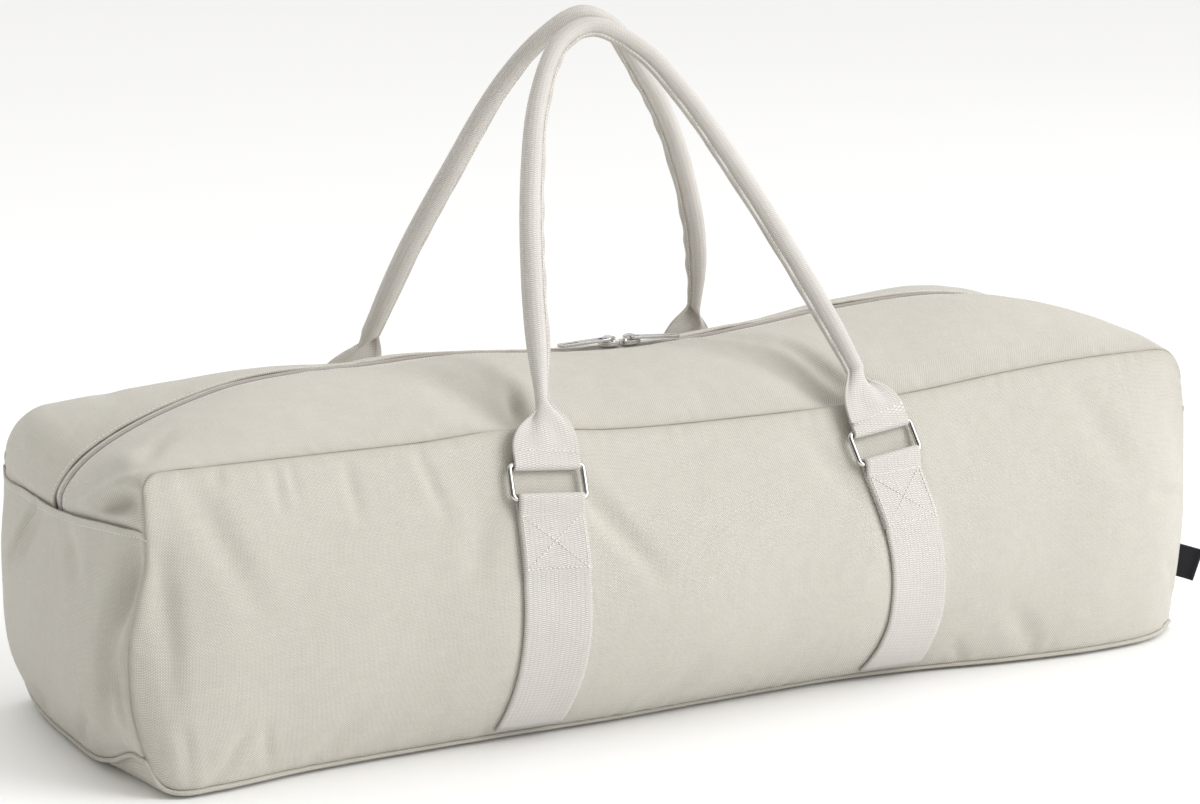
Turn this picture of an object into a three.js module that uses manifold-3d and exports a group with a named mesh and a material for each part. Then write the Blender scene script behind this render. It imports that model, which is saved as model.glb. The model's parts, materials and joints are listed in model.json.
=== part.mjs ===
// Yoga mat bag: a long canvas bag on a flat base, zipped along the top, with two webbing handles on wire rings.
// Millimetres, +Z up. X runs along the bag, the front faces -Y, and the origin is the middle of the base underside.
import * as THREE from "three";
import { mergeVertices } from "three/addons/utils/BufferGeometryUtils.js";
import Module from "manifold-3d";

const wasm = await Module();
wasm.setup();

// Cloth body.
const bagLength = 800; // between the left and right front corner seams
const baseDepth = 250; // front to back at the base seam
const topDepth = 230; // front to back between the two top seams
const seamHeight = 200; // top seams above the floor
const zipRise = 30; // zip above the top seams in the middle
const hemHeight = 164; // end hems above the floor
const hemLap = 12; // length of gusset behind each hem
const hemDip = 6; // sag of a hem in its middle
const frontLeftRadius = 10; // upper corners of the front and back panels
const frontRightRadius = 24;
const backRadius = 32;
const baseSeamHeight = 4.2; // base seam above the floor
const cornerLift = 20; // how much higher the base seam is at the front left corner
const baseTurn = 20; // width of the base's turned-up edge
const panelPuff = 45; // most that the front panel stands out
const endPuff = 8; // most that an end panel stands out
const hemPuff = 10; // most that a hem stands out past the corner seams
const gussetPuff = 16; // most that a gusset stands out
const baseEndPuff = 6; // outward bow of the base's short ends
const canvas = 1.8;
const gap = 0.3; // clear space between neighbouring pieces
const weltRadius = 2;
const panelSag = 0.75; // below 1, a panel is fullest below half its height
const endSag = 0.8;

// Zip.
const zipOpening = 10; // between the gussets' folded edges
const tapeWidth = 22;
const tapeDroop = 1; // how much lower the tape's edges lie than its middle
const tapeThickness = 0.9;
const coilWidth = 6.5;
const coilProud = 0.3; // coil above the gussets
const sliderLength = 14;
const sliderWidth = 11;
const sliderNose = 7; // width of the slider's narrow end
const sliderHeight = 3;
const sliderSpacing = 17; // between the two sliders' middles
const sliderMiddle = -2.5; // X of the point between the sliders
const crownLength = 9.4;
const crownWidth = 3;
const crownWall = 1.5;
const pinHeight = 1.6; // tab pin above the slider's top
const tabLength = 40;
const tabWidth = 9;
const tabThickness = 1.8;
const tabRest = 3; // degrees that a lying tab points down
const pinWidth = 1.4;
const tabEye = 7; // length of the hole round the crown
const tabSlot = 12;
const tabSlotWidth = 3.6;
const tabHoleCorner = 0.8;
const tabEyeRoom = 1; // clear width on each side of the crown in the tab's hole

// Webbing, rings and handles.
const webbing = 47;
const webbingThickness = 1.5;
const strapSpacing = 267; // between the two straps' middles
const strapLift = 0.7; // clear space between strap and panel
const strapStart = 11; // strap's lower end above the floor
const strapTuck = 45; // length folded back behind the strap
const tuckStep = 9; // length in which the strap climbs over its folded-back end
const ringRun = 12; // length in which the strap leaves the panel for its ring
const rowRoom = 10; // least distance between a row of the strap and the step
const leftRingHeight = 168.5; // ring middles above the floor
const rightRingHeight = 167;
const ringWire = 3.8;
const ringRise = 26; // outer height of a ring
const ringRoom = 2; // clear width beside the webbing in a ring
const ringCorner = 3.2; // bend of the wire's middle line
const ringStandOff = 5; // wire's middle line off the panel
const handleRise = 270; // front handle's top above its rings
const backHandleRise = 277;
const handleApart = 17; // between the two handles' middle lines at the top
const tubeRadius = 7;
const finWidth = 3;
const finThickness = 3;
const handleTuck = 24; // length folded up behind the handle's end
const flareLength = 44; // stretch where the webbing opens from tube to flat

// Side tag.
const tagHeight = 46; // tag middle above the floor
const tagWidth = 24;
const tagReach = 15;
const tagRibbon = 0.7;

const halfLength = bagLength / 2;
const front = -1;
const back = 1;

const colours = {
  canvas: 0xd9d4c6,
  webbing: 0xdcd6cc,
  tape: 0xc4bcb4,
  coil: 0xa89f9a,
  metal: 0xc9cacc,
  tag: 0x15161a,
};

function material(name, roughness, metalness) {
  return new THREE.MeshStandardMaterial({ color: colours[name], roughness, metalness });
}

const mix = THREE.MathUtils.lerp;
const ease = (t) => THREE.MathUtils.smoothstep(t, 0, 1);
const vec = (x, y, z) => new THREE.Vector3(x, y, z);
const blend = (a, b, t) => a.clone().lerp(b, t);
const shift = (point, direction, distance) => point.clone().addScaledVector(direction, distance);

// Value of one column of a table at a place, on a smooth curve through the rows, which are in order of their "at".
function read(rows, column, at) {
  const last = rows.length - 1;
  const chord = (k) => (rows[k + 1][column] - rows[k][column]) / (rows[k + 1].at - rows[k].at);
  const slope = (k) => {
    if (k === 0) return chord(0);
    if (k === last) return chord(last - 1);
    const turning = chord(k - 1) * chord(k) <= 0;
    return ((chord(k - 1) + chord(k)) / 2) * (turning ? 0.35 : 1);
  };
  let k = 0;
  while (k < last - 1 && at > rows[k + 1].at) k += 1;
  const width = rows[k + 1].at - rows[k].at;
  const t = THREE.MathUtils.clamp((at - rows[k].at) / width, 0, 1);
  const u = 1 - t;
  return (
    u * u * (1 + 2 * t) * rows[k][column] +
    t * u * u * width * slope(k) +
    t * t * (1 + 2 * u) * rows[k + 1][column] -
    t * t * u * width * slope(k + 1)
  );
}

// Long panels, from the left end (at -1) to the right end (at 1). topUp is a share of seamHeight, topOut a share of
// half the top depth, baseOut a share of half the base depth, baseUp a share of cornerLift above baseSeamHeight,
// and puff a share of panelPuff.
const longPanels = {
  [front]: [
    { at: -1, topUp: 1, topOut: 1, baseOut: 0.96, baseUp: 1, puff: 0 },
    { at: -0.985, topUp: 1.003, topOut: 1, baseOut: 0.99, baseUp: 0.3, puff: 0.04 },
    { at: -0.955, topUp: 1.005, topOut: 1, baseOut: 1.05, baseUp: 0, puff: 0.12 },
    { at: -0.9, topUp: 1.005, topOut: 1, baseOut: 1.06, baseUp: 0, puff: 0.26 },
    { at: -0.75, topUp: 1.005, topOut: 1, baseOut: 1, baseUp: 0, puff: 0.48 },
    { at: -0.55, topUp: 1.005, topOut: 1, baseOut: 0.98, baseUp: 0, puff: 0.65 },
    { at: -0.4, topUp: 1.018, topOut: 1, baseOut: 0.98, baseUp: 0, puff: 0.8 },
    { at: -0.2, topUp: 0.98, topOut: 1, baseOut: 0.995, baseUp: 0, puff: 0.93 },
    { at: 0, topUp: 0.97, topOut: 1, baseOut: 0.975, baseUp: 0, puff: 1 },
    { at: 0.22, topUp: 0.972, topOut: 1, baseOut: 0.965, baseUp: 0, puff: 1 },
    { at: 0.4, topUp: 0.99, topOut: 1, baseOut: 1.02, baseUp: 0, puff: 0.78 },
    { at: 0.6, topUp: 1.025, topOut: 1, baseOut: 1.15, baseUp: 0, puff: 0.52 },
    { at: 0.78, topUp: 1.045, topOut: 1, baseOut: 1.21, baseUp: 0, puff: 0.4 },
    { at: 0.92, topUp: 1.047, topOut: 1, baseOut: 1.15, baseUp: 0, puff: 0.25 },
    { at: 1, topUp: 1.045, topOut: 1, baseOut: 0.98, baseUp: 0.05, puff: 0 },
  ],
  [back]: [
    { at: -1, topUp: 1, topOut: 1.1, baseOut: 0.98, baseUp: 0.4, puff: 0 },
    { at: -0.9, topUp: 1.01, topOut: 1.09, baseOut: 1, baseUp: 0, puff: 0.25 },
    { at: -0.6, topUp: 1.01, topOut: 1.06, baseOut: 0.98, baseUp: 0, puff: 0.55 },
    { at: -0.3, topUp: 1, topOut: 1.03, baseOut: 0.97, baseUp: 0, puff: 0.75 },
    { at: 0, topUp: 0.985, topOut: 1, baseOut: 0.97, baseUp: 0, puff: 0.85 },
    { at: 0.35, topUp: 0.99, topOut: 1, baseOut: 0.98, baseUp: 0, puff: 0.7 },
    { at: 0.7, topUp: 1.03, topOut: 1.02, baseOut: 1.03, baseUp: 0, puff: 0.45 },
    { at: 0.92, topUp: 1.035, topOut: 1.04, baseOut: 1.02, baseUp: 0.05, puff: 0.2 },
    { at: 1, topUp: 1.03, topOut: 1.04, baseOut: 0.97, baseUp: 0.4, puff: 0 },
  ],
};

// Corner seams, from the base (at 0) to the top (at 1): distance from the middle as a share of half the bag length.
const cornerSeams = {
  [front]: [
    { at: 0, left: 1.018, right: 0.995 },
    { at: 0.12, left: 1.032, right: 1.008 },
    { at: 0.25, left: 1.04, right: 1.02 },
    { at: 0.43, left: 1.038, right: 1.03 },
    { at: 0.58, left: 1.022, right: 1.03 },
    { at: 0.73, left: 1.006, right: 1.03 },
    { at: 1, left: 1.007, right: 1.022 },
  ],
  [back]: [
    { at: 0, left: 0.988, right: 0.99 },
    { at: 0.2, left: 1.016, right: 1.01 },
    { at: 0.5, left: 1.018, right: 1.02 },
    { at: 0.8, left: 1.013, right: 1.02 },
    { at: 1, left: 1.01, right: 1.015 },
  ],
};

// End panels and hems, from the front (at 0) to the back (at 1). dip is a share of hemDip, hemOut of hemPuff,
// leftLift and rightLift of cornerLift, and puff of endPuff.
const endPanels = [
  { at: 0, dip: 0, hemOut: 0, leftLift: 1, rightLift: 0.05, puff: 0 },
  { at: 0.08, dip: 0, hemOut: 0.5, leftLift: 0.95, rightLift: 0.05, puff: 0.3 },
  { at: 0.2, dip: 0.2, hemOut: 0.95, leftLift: 0.4, rightLift: 0.03, puff: 0.65 },
  { at: 0.35, dip: 0.7, hemOut: 1.15, leftLift: 0.05, rightLift: 0, puff: 0.9 },
  { at: 0.5, dip: 1, hemOut: 1.15, leftLift: 0.05, rightLift: 0, puff: 1 },
  { at: 0.75, dip: 0.9, hemOut: 0.9, leftLift: 0, rightLift: 0, puff: 0.9 },
  { at: 0.92, dip: 0.7, hemOut: 0.75, leftLift: 0.15, rightLift: 0.15, puff: 0.45 },
  { at: 1, dip: 0, hemOut: 0, leftLift: 0.4, rightLift: 0.4, puff: 0 },
];

// Zip line between the hems, from left to right. along is a share of half the bag length, and up goes from the hem
// (0) to zipRise above the top seams (1).
const zipLine = [
  { along: -1.03, up: 0.07 },
  { along: -1.012, up: 0.23 },
  { along: -0.985, up: 0.38 },
  { along: -0.945, up: 0.53 },
  { along: -0.895, up: 0.67 },
  { along: -0.83, up: 0.81 },
  { along: -0.74, up: 0.95 },
  { along: -0.63, up: 1.02 },
  { along: -0.5, up: 1.03 },
  { along: -0.352, up: 1.06 },
  { along: -0.142, up: 0.98 },
  { along: 0.115, up: 0.975 },
  { along: 0.262, up: 1.05 },
  { along: 0.45, up: 1.17 },
  { along: 0.68, up: 1.22 },
  { along: 0.8, up: 1.11 },
  { along: 0.885, up: 0.9 },
  { along: 0.955, up: 0.6 },
  { along: 1, up: 0.3 },
  { along: 1.02, up: 0.12 },
];

// How far the gussets stand out along their length, from the left hem (at 0) to the right hem (at 1), as shares of
// gussetPuff.
const gussetSwell = [
  { at: 0, front: 0.28, back: 0.28 },
  { at: 0.06, front: 0.8, back: 0.7 },
  { at: 0.15, front: 0.95, back: 0.5 },
  { at: 0.35, front: 0.85, back: 0.5 },
  { at: 0.5, front: 1, back: 0.8 },
  { at: 0.65, front: 0.85, back: 0.7 },
  { at: 0.85, front: 1, back: 0.9 },
  { at: 0.94, front: 0.75, back: 0.85 },
  { at: 1, front: 0.28, back: 0.28 },
];

// Hollows in the gussets where the handles pull on the top seams. place is a share of half the bag length, reach
// goes from the seam (0) to the zip (1), slant is how far the hollow leans along the bag on its way, as a share
// of half the bag length, and depth is a share of gussetPuff.
const gussetHollows = [
  { place: -0.36, slant: -0.16, reach: 0.75, width: 0.06, depth: 0.55 },
  { place: 0.27, slant: -0.12, reach: 0.75, width: 0.06, depth: 0.55 },
];

// Strap middles by height, from the base (at 0) to the top seam (at 1), as shares of half the strap spacing.
const strapPlaces = {
  [front]: [
    { at: 0, left: -1.13, right: 1 },
    { at: 0.25, left: -1.08, right: 1.05 },
    { at: 0.5, left: -1.05, right: 1.04 },
    { at: 0.8, left: -1.02, right: 0.965 },
    { at: 1, left: -1.01, right: 0.945 },
  ],
  [back]: [
    { at: 0, left: -1.12, right: 0.95 },
    { at: 0.5, left: -1.13, right: 0.97 },
    { at: 1, left: -1.14, right: 0.97 },
  ],
};

// Middle lines of the handles from the left ring to the right one. along is a share of the way between the rings,
// and rise a share of the handle's rise.
const handleLines = {
  [front]: [
    { along: 0.03, rise: 0.2 },
    { along: 0.065, rise: 0.4 },
    { along: 0.12, rise: 0.62 },
    { along: 0.2, rise: 0.83 },
    { along: 0.3, rise: 0.963 },
    { along: 0.408, rise: 1 },
    { along: 0.54, rise: 0.934 },
    { along: 0.645, rise: 0.804 },
    { along: 0.751, rise: 0.616 },
    { along: 0.853, rise: 0.406 },
    { along: 0.94, rise: 0.2 },
  ],
  [back]: [
    { along: 0.04, rise: 0.17 },
    { along: 0.1, rise: 0.4 },
    { along: 0.175, rise: 0.61 },
    { along: 0.26, rise: 0.82 },
    { along: 0.345, rise: 0.94 },
    { along: 0.439, rise: 1 },
    { along: 0.54, rise: 0.965 },
    { along: 0.625, rise: 0.88 },
    { along: 0.75, rise: 0.735 },
    { along: 0.861, rise: 0.56 },
    { along: 0.95, rise: 0.37 },
    { along: 0.995, rise: 0.19 },
  ],
};

// Rings, with the tilt of each in degrees, outer or right side up.
const rings = [
  { name: "front_left", side: front, hand: "left", tilt: 2 },
  { name: "front_right", side: front, hand: "right", tilt: 7 },
  { name: "back_left", side: back, hand: "left", tilt: 2 },
  { name: "back_right", side: back, hand: "right", tilt: 3 },
];

// Grid lines shared by the panels, so that neighbours bend at the same points of their common seam.
const straightColumns = 15;
const cornerShares = [0, 0.134, 0.5, 1]; // a quarter circle in three equal steps
const hemRow = hemHeight / seamHeight;
const rowsBelowHem = [0, 0.08, 0.22, 0.42, 0.62];
const rowsAboveHem = [(hemRow + 1) / 2, 1];
const roundSides = 6; // of a cord's or wire's section
const panelRows = [...rowsBelowHem, hemRow, ...rowsAboveHem];
const hemIndex = rowsBelowHem.length;
const acrossShares = [0, 0.03, 0.08, 0.2, 0.35, 0.5, 0.65, 0.8, 0.92, 0.97, 1];
const gussetShares = [...acrossShares.filter((w) => w < 0.5).map((w) => 2 * w), 1];
const cornerRadii = {
  [front]: { left: frontLeftRadius, right: frontRightRadius },
  [back]: { left: backRadius, right: backRadius },
};

function columnsAlong({ left, right }) {
  const nearLeft = cornerShares.map((share) => (share * left) / bagLength);
  const nearRight = cornerShares.map((share) => 1 - (share * right) / bagLength).reverse();
  nearLeft.push((left + baseTurn / 2) / bagLength);
  nearRight.unshift(1 - (right + baseTurn / 2) / bagLength);
  const start = nearLeft[nearLeft.length - 1];
  const stretch = nearRight[0] - start;
  const middle = [];
  for (let k = 1; k < straightColumns; k += 1) middle.push(start + (stretch * k) / straightColumns);
  return [...nearLeft, ...middle, ...nearRight];
}
const columns = { [front]: columnsAlong(cornerRadii[front]), [back]: columnsAlong(cornerRadii[back]) };

// Drop of a rounded corner at a distance from the panel's end.
function cornerDrop(distance, radius) {
  if (distance >= radius) return 0;
  return radius - Math.sqrt(radius * radius - (radius - distance) * (radius - distance));
}

function topSeamZ(side, u) {
  const radii = cornerRadii[side];
  const drop = cornerDrop(u * bagLength, radii.left) + cornerDrop((1 - u) * bagLength, radii.right);
  return seamHeight * read(longPanels[side], "topUp", 2 * u - 1) - drop;
}

function baseSeamZ(side, u) {
  return baseSeamHeight + cornerLift * read(longPanels[side], "baseUp", 2 * u - 1);
}

// A point of the front or back panel: u from left to right, v from base seam to top seam.
function panelPoint(side, u, v) {
  const at = 2 * u - 1;
  const left = -halfLength * read(cornerSeams[side], "left", v);
  const right = halfLength * read(cornerSeams[side], "right", v);
  const topOut = (topDepth / 2) * read(longPanels[side], "topOut", at);
  const baseOut = (baseDepth / 2) * read(longPanels[side], "baseOut", at);
  const puff = panelPuff * read(longPanels[side], "puff", at) * Math.sin(Math.PI * Math.pow(v, panelSag));
  return vec(
    mix(left, right, u),
    side * (mix(baseOut, topOut, v) + puff),
    v < hemRow
      ? mix(baseSeamZ(side, u), hemHeight, v / hemRow)
      : mix(hemHeight, topSeamZ(side, u), (v - hemRow) / (1 - hemRow)),
  );
}

// A point of an end panel's surface: w from front to back, v from base seam to the height of the top seam.
function endPoint(hand, w, v) {
  const u = hand === "left" ? 0 : 1;
  const outward = hand === "left" ? -1 : 1;
  const at = v / hemRow;
  const seam = blend(panelPoint(front, u, v), panelPoint(back, u, v), w);
  const lift = (place) => cornerLift * read(endPanels, hand + "Lift", place);
  const seamLift = lift(w) - mix(lift(0), lift(1), w);
  const bow = baseEndPuff * 4 * w * (1 - w) * (1 - at);
  const swell = endPuff * read(endPanels, "puff", w) * Math.sin(Math.PI * Math.pow(at, endSag));
  seam.x += outward * (bow + swell + hemPuff * read(endPanels, "hemOut", w) * at);
  seam.z += seamLift * (1 - at) - hemDip * read(endPanels, "dip", w) * at;
  return seam;
}

// A point of the base's underside: k counts the columns from left to right, and w goes from front to back.
function basePoint(k, w) {
  const frontEdge = panelPoint(front, columns[front][k], 0);
  const backEdge = panelPoint(back, columns[back][k], 0);
  const u = mix(columns[front][k], columns[back][k], w);
  const leftEdge = endPoint("left", w, 0);
  const rightEdge = endPoint("right", w, 0);
  const straight = blend(frontEdge, backEdge, w);
  const leftStraight = mix(panelPoint(front, 0, 0).x, panelPoint(back, 0, 0).x, w);
  const rightStraight = mix(panelPoint(front, 1, 0).x, panelPoint(back, 1, 0).x, w);
  const x = straight.x + mix(leftEdge.x - leftStraight, rightEdge.x - rightStraight, u);
  const turn = (distance) => Math.pow(1 - THREE.MathUtils.clamp(distance / baseTurn, 0, 1), 3);
  const toFront = turn(straight.y - frontEdge.y);
  const toBack = turn(backEdge.y - straight.y);
  const toLeft = turn(x - leftEdge.x);
  const toRight = turn(rightEdge.x - x);
  const corner = (side, end, a, b) => baseSeamZ(side, end) * a * b;
  const z =
    frontEdge.z * toFront +
    backEdge.z * toBack +
    leftEdge.z * toLeft +
    rightEdge.z * toRight -
    corner(front, 0, toFront, toLeft) -
    corner(front, 1, toFront, toRight) -
    corner(back, 0, toBack, toLeft) -
    corner(back, 1, toBack, toRight);
  return vec(x, straight.y, z);
}

const mitre = 1.35; // a wall's depth along its mitred rim, as a share of its thickness

// Direction from a seam to the bag's inside, towards the nearest point of a line along its middle. Both of the seam's
// panels share it.
function inward(point) {
  const reach = halfLength - baseDepth / 3;
  const core = vec(THREE.MathUtils.clamp(point.x, -reach, reach), 0, seamHeight / 2);
  return core.sub(point).normalize();
}

// Solids from grids of points.
function fromFaces(points, faces) {
  const geometry = new THREE.BufferGeometry();
  geometry.setAttribute("position", new THREE.Float32BufferAttribute(points.flatMap((p) => [p.x, p.y, p.z]), 3));
  geometry.setIndex(faces.flat());
  let volume = 0;
  for (const [a, b, c] of faces) {
    volume += points[a].dot(points[b].clone().cross(points[c]));
  }
  if (volume < 0) geometry.setIndex(faces.flatMap(([a, b, c]) => [a, c, b]));
  return geometry;
}

// A closed solid through rings of points, with flat ends, or joined end to end when it is a loop.
function throughRings(sections, loop = false) {
  const count = sections[0].length;
  const points = sections.flat();
  const faces = [];
  const spans = loop ? sections.length : sections.length - 1;
  for (let k = 0; k < spans; k += 1) {
    const here = k * count;
    const next = ((k + 1) % sections.length) * count;
    for (let i = 0; i < count; i += 1) {
      const j = (i + 1) % count;
      faces.push([here + i, here + j, next + j], [here + i, next + j, next + i]);
    }
  }
  if (!loop) {
    const far = (sections.length - 1) * count;
    for (let i = 1; i < count / 2; i += 1) {
      const a = i;
      const b = i + 1;
      const c = count - i;
      const d = (count - i + 1) % count;
      faces.push([d, b, a], [far + d, far + a, far + b]);
      if (b !== c) faces.push([d, c, b], [far + d, far + b, far + c]);
    }
  }
  return fromFaces(points, faces);
}

// A cloth wall: the outer grid, the same grid offset inwards, and a rim. seams says which of the four edges lie on a
// seam, where the rim is mitred towards the bag's inside and kept clear of the neighbour's.
function clothWall(outer, seams) {
  const lastI = outer.length - 1;
  const lastJ = outer[0].length - 1;
  const onSeam = (i, j) =>
    (i === 0 && seams.start) ||
    (i === lastI && seams.end) ||
    (j === 0 && seams.low) ||
    (j === lastJ && seams.high);
  const normalAt = (i, j) => {
    const along = outer[Math.min(i + 1, lastI)][j].clone().sub(outer[Math.max(i - 1, 0)][j]);
    const up = outer[i][Math.min(j + 1, lastJ)].clone().sub(outer[i][Math.max(j - 1, 0)]);
    return along.cross(up).normalize();
  };
  const middle = normalAt(Math.round(lastI / 2), Math.round(lastJ / 2));
  const facing = middle.dot(inward(outer[Math.round(lastI / 2)][Math.round(lastJ / 2)])) > 0 ? 1 : -1;
  const seamInset = gap / Math.SQRT2;
  const towards = (from, to) => to.clone().sub(from).normalize().multiplyScalar(seamInset);
  const face = [];
  const lining = [];
  for (let i = 0; i <= lastI; i += 1) {
    face.push([]);
    lining.push([]);
    for (let j = 0; j <= lastJ; j += 1) {
      const point = outer[i][j];
      const inset = vec(0, 0, 0);
      if (i === 0 && seams.start) inset.add(towards(point, outer[1][j]));
      if (i === lastI && seams.end) inset.add(towards(point, outer[lastI - 1][j]));
      if (j === 0 && seams.low) inset.add(towards(point, outer[i][1]));
      if (j === lastJ && seams.high) inset.add(towards(point, outer[i][lastJ - 1]));
      const depth = onSeam(i, j)
        ? inward(point).multiplyScalar(canvas * mitre)
        : normalAt(i, j).multiplyScalar(facing * canvas);
      face[i].push(point.clone().add(inset));
      lining[i].push(point.clone().add(inset).add(depth));
    }
  }
  const points = [...face.flat(), ...lining.flat()];
  const width = lastJ + 1;
  const half = (lastI + 1) * width;
  const faces = [];
  for (let i = 0; i < lastI; i += 1) {
    for (let j = 0; j < lastJ; j += 1) {
      const a = i * width + j;
      const b = a + width;
      faces.push([a, b, b + 1], [a, b + 1, a + 1]);
      faces.push([half + a, half + b + 1, half + b], [half + a, half + a + 1, half + b + 1]);
    }
  }
  const edge = [];
  for (let i = 0; i < lastI; i += 1) edge.push(i * width);
  for (let j = 0; j < lastJ; j += 1) edge.push(lastI * width + j);
  for (let i = lastI; i > 0; i -= 1) edge.push(i * width + lastJ);
  for (let j = lastJ; j > 0; j -= 1) edge.push(j);
  edge.forEach((a, k) => {
    const b = edge[(k + 1) % edge.length];
    faces.push([a, half + a, half + b], [a, half + b, b]);
  });
  return fromFaces(points, faces);
}

function longPanel(side) {
  const grid = columns[side].map((u) => panelRows.map((v) => panelPoint(side, u, v)));
  return clothWall(grid, { start: true, end: true, low: true, high: true });
}

function endPanel(hand) {
  const rows = panelRows.slice(0, hemIndex + 1);
  const grid = acrossShares.map((w) => rows.map((v) => endPoint(hand, w, v)));
  return clothWall(grid, { start: true, end: true, low: true });
}

function basePanel() {
  const grid = columns[front].map((_, k) => acrossShares.map((w) => basePoint(k, w)));
  return clothWall(grid, { start: true, end: true, low: true, high: true });
}

// Zip line as a curve from hem to hem.
function zipCurve() {
  const points = zipLine.map((row) =>
    vec(row.along * halfLength, 0, mix(hemHeight, seamHeight + zipRise, row.up)),
  );
  points.unshift(endPoint("left", acrossAt("left", 0), hemRow).setY(0));
  points.push(endPoint("right", acrossAt("right", 0), hemRow).setY(0));
  return new THREE.CatmullRomCurve3(points, false, "centripetal");
}
const zip = zipCurve();

// Stations along the gussets, from tail to tail: the outer seam, the zip and what lies between. A tucked station
// is behind an end panel.
function gussetStations() {
  const up = panelRows.slice(hemIndex);
  const tailRow = hemRow - hemLap / seamHeight;
  const spots = [
    { hand: "left", v: tailRow },
    ...up.map((v) => ({ hand: "left", v })),
    ...columns[front].slice(1, -1).map((_, k) => ({ column: k + 1 })),
    ...[...up].reverse().map((v) => ({ hand: "right", v })),
    { hand: "right", v: tailRow },
  ];
  const outerPoint = (side, spot) =>
    spot.hand
      ? panelPoint(side, spot.hand === "left" ? 0 : 1, spot.v)
      : panelPoint(side, columns[side][spot.column], 1);
  const lengths = [0];
  for (let k = 2; k < spots.length - 1; k += 1) {
    const step = outerPoint(front, spots[k]).distanceTo(outerPoint(front, spots[k - 1]));
    lengths.push(lengths[lengths.length - 1] + step);
  }
  const total = lengths[lengths.length - 1];
  return spots.map((spot, k) => {
    const at = THREE.MathUtils.clamp(k < 1 ? 0 : (lengths[k - 1] ?? total) / total, 0, 1);
    return { ...spot, at, tucked: spot.hand !== undefined && spot.v <= hemRow, outerPoint };
  });
}
const stations = gussetStations();
const tuckDepth = canvas + gap;

// A point of an end panel's flat facets just below the hem.
function hemFacet(hand, w, v) {
  const below = rowsBelowHem[hemIndex - 1];
  return blend(endPoint(hand, w, hemRow), endPoint(hand, w, below), (hemRow - v) / (hemRow - below));
}

// Share of the way across a hem, from front to back, at which it has a given Y.
function acrossAt(hand, y) {
  const [near, far] = [endPoint(hand, 0, hemRow).y, endPoint(hand, 1, hemRow).y];
  return (y - near) / (far - near);
}

// Point of the zip line at a station, and the direction that faces out of the bag there.
function zipAt(station) {
  const tangent = zip.getTangentAt(station.at);
  const out = vec(-tangent.z, 0, tangent.x);
  if (!station.tucked) return { point: zip.getPointAt(station.at), out, tangent };
  const outward = station.hand === "left" ? -1 : 1;
  const point = hemFacet(station.hand, acrossAt(station.hand, 0), station.v).setY(0);
  return { point, out: vec(outward, 0, 0), tangent };
}

// Depth of the hollows at a place along the bag.
function gussetHollow(x, w) {
  let depth = 0;
  for (const row of gussetHollows) {
    const middle = halfLength * (row.place + row.slant * w);
    const off = (x - middle) / (halfLength * row.width);
    const fade = Math.sin(Math.PI * Math.sqrt(THREE.MathUtils.clamp(w / row.reach, 0, 1)));
    depth += gussetPuff * row.depth * Math.exp(-off * off) * fade;
  }
  return depth;
}

// A point of a gusset: w from the outer seam to the zip's edge.
function gussetPoint(side, station, w) {
  const edge = (side * zipOpening) / 2;
  if (station.tucked) {
    const outerShare = side === front ? w / 2 : 1 - w / 2;
    const point = hemFacet(station.hand, w === 1 ? acrossAt(station.hand, edge) : outerShare, station.v);
    if (w === 1) point.setY(edge);
    const direction = w === 0 ? inward(point) : vec(station.hand === "left" ? 1 : -1, 0, 0);
    return shift(point, direction, w === 0 ? mitre * tuckDepth : tuckDepth);
  }
  const outer = station.outerPoint(side, station);
  const { point: middle, out } = zipAt(station);
  const inner = middle.clone().setY(edge);
  const lean = vec(0, side * Math.max(0, out.z), 0).multiplyScalar(1 - w);
  const direction = out.clone().add(lean).normalize();
  const swell = gussetPuff * read(gussetSwell, side === front ? "front" : "back", station.at) * Math.sin(Math.PI * w);
  const point = blend(outer, inner, w);
  return shift(point, direction, swell - gussetHollow(point.x, w));
}

function gusset(side) {
  const grid = stations.map((station) => gussetShares.map((w) => gussetPoint(side, station, w)));
  return clothWall(grid, { low: true });
}

// A strip along the zip: half its width, its top and bottom below the gussets' outer face, and how much lower its
// edges lie.
function zipStrip(halfWidth, top, bottom, edgeDroop) {
  return throughRings(
    stations.map((station) => {
      const { point, out } = zipAt(station);
      const sink = station.tucked ? tuckDepth + coilProud + gap : 0;
      const corner = (y, depth) => shift(point, out, -sink - depth).setY(y);
      const middle = Math.min(halfWidth, zipOpening / 2) - gap;
      const places = [-halfWidth, -middle, middle, halfWidth];
      const droop = (y) => (Math.abs(y) === halfWidth ? edgeDroop : 0);
      return [
        ...places.map((y) => corner(y, top + droop(y))),
        ...places.reverse().map((y) => corner(y, bottom + droop(y))),
      ];
    }),
  );
}

// Height and slope of the coil's top between its stations, where a slider sits.
function coilTop(x) {
  const points = stations.filter((s) => !s.tucked).map((s) => zipAt(s).point);
  const k = points.findIndex((point) => point.x > x);
  const [a, b] = [points[k - 1], points[k]];
  const slope = (b.z - a.z) / (b.x - a.x);
  return { z: a.z + slope * (x - a.x) + coilProud, angle: Math.atan(slope) };
}

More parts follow.
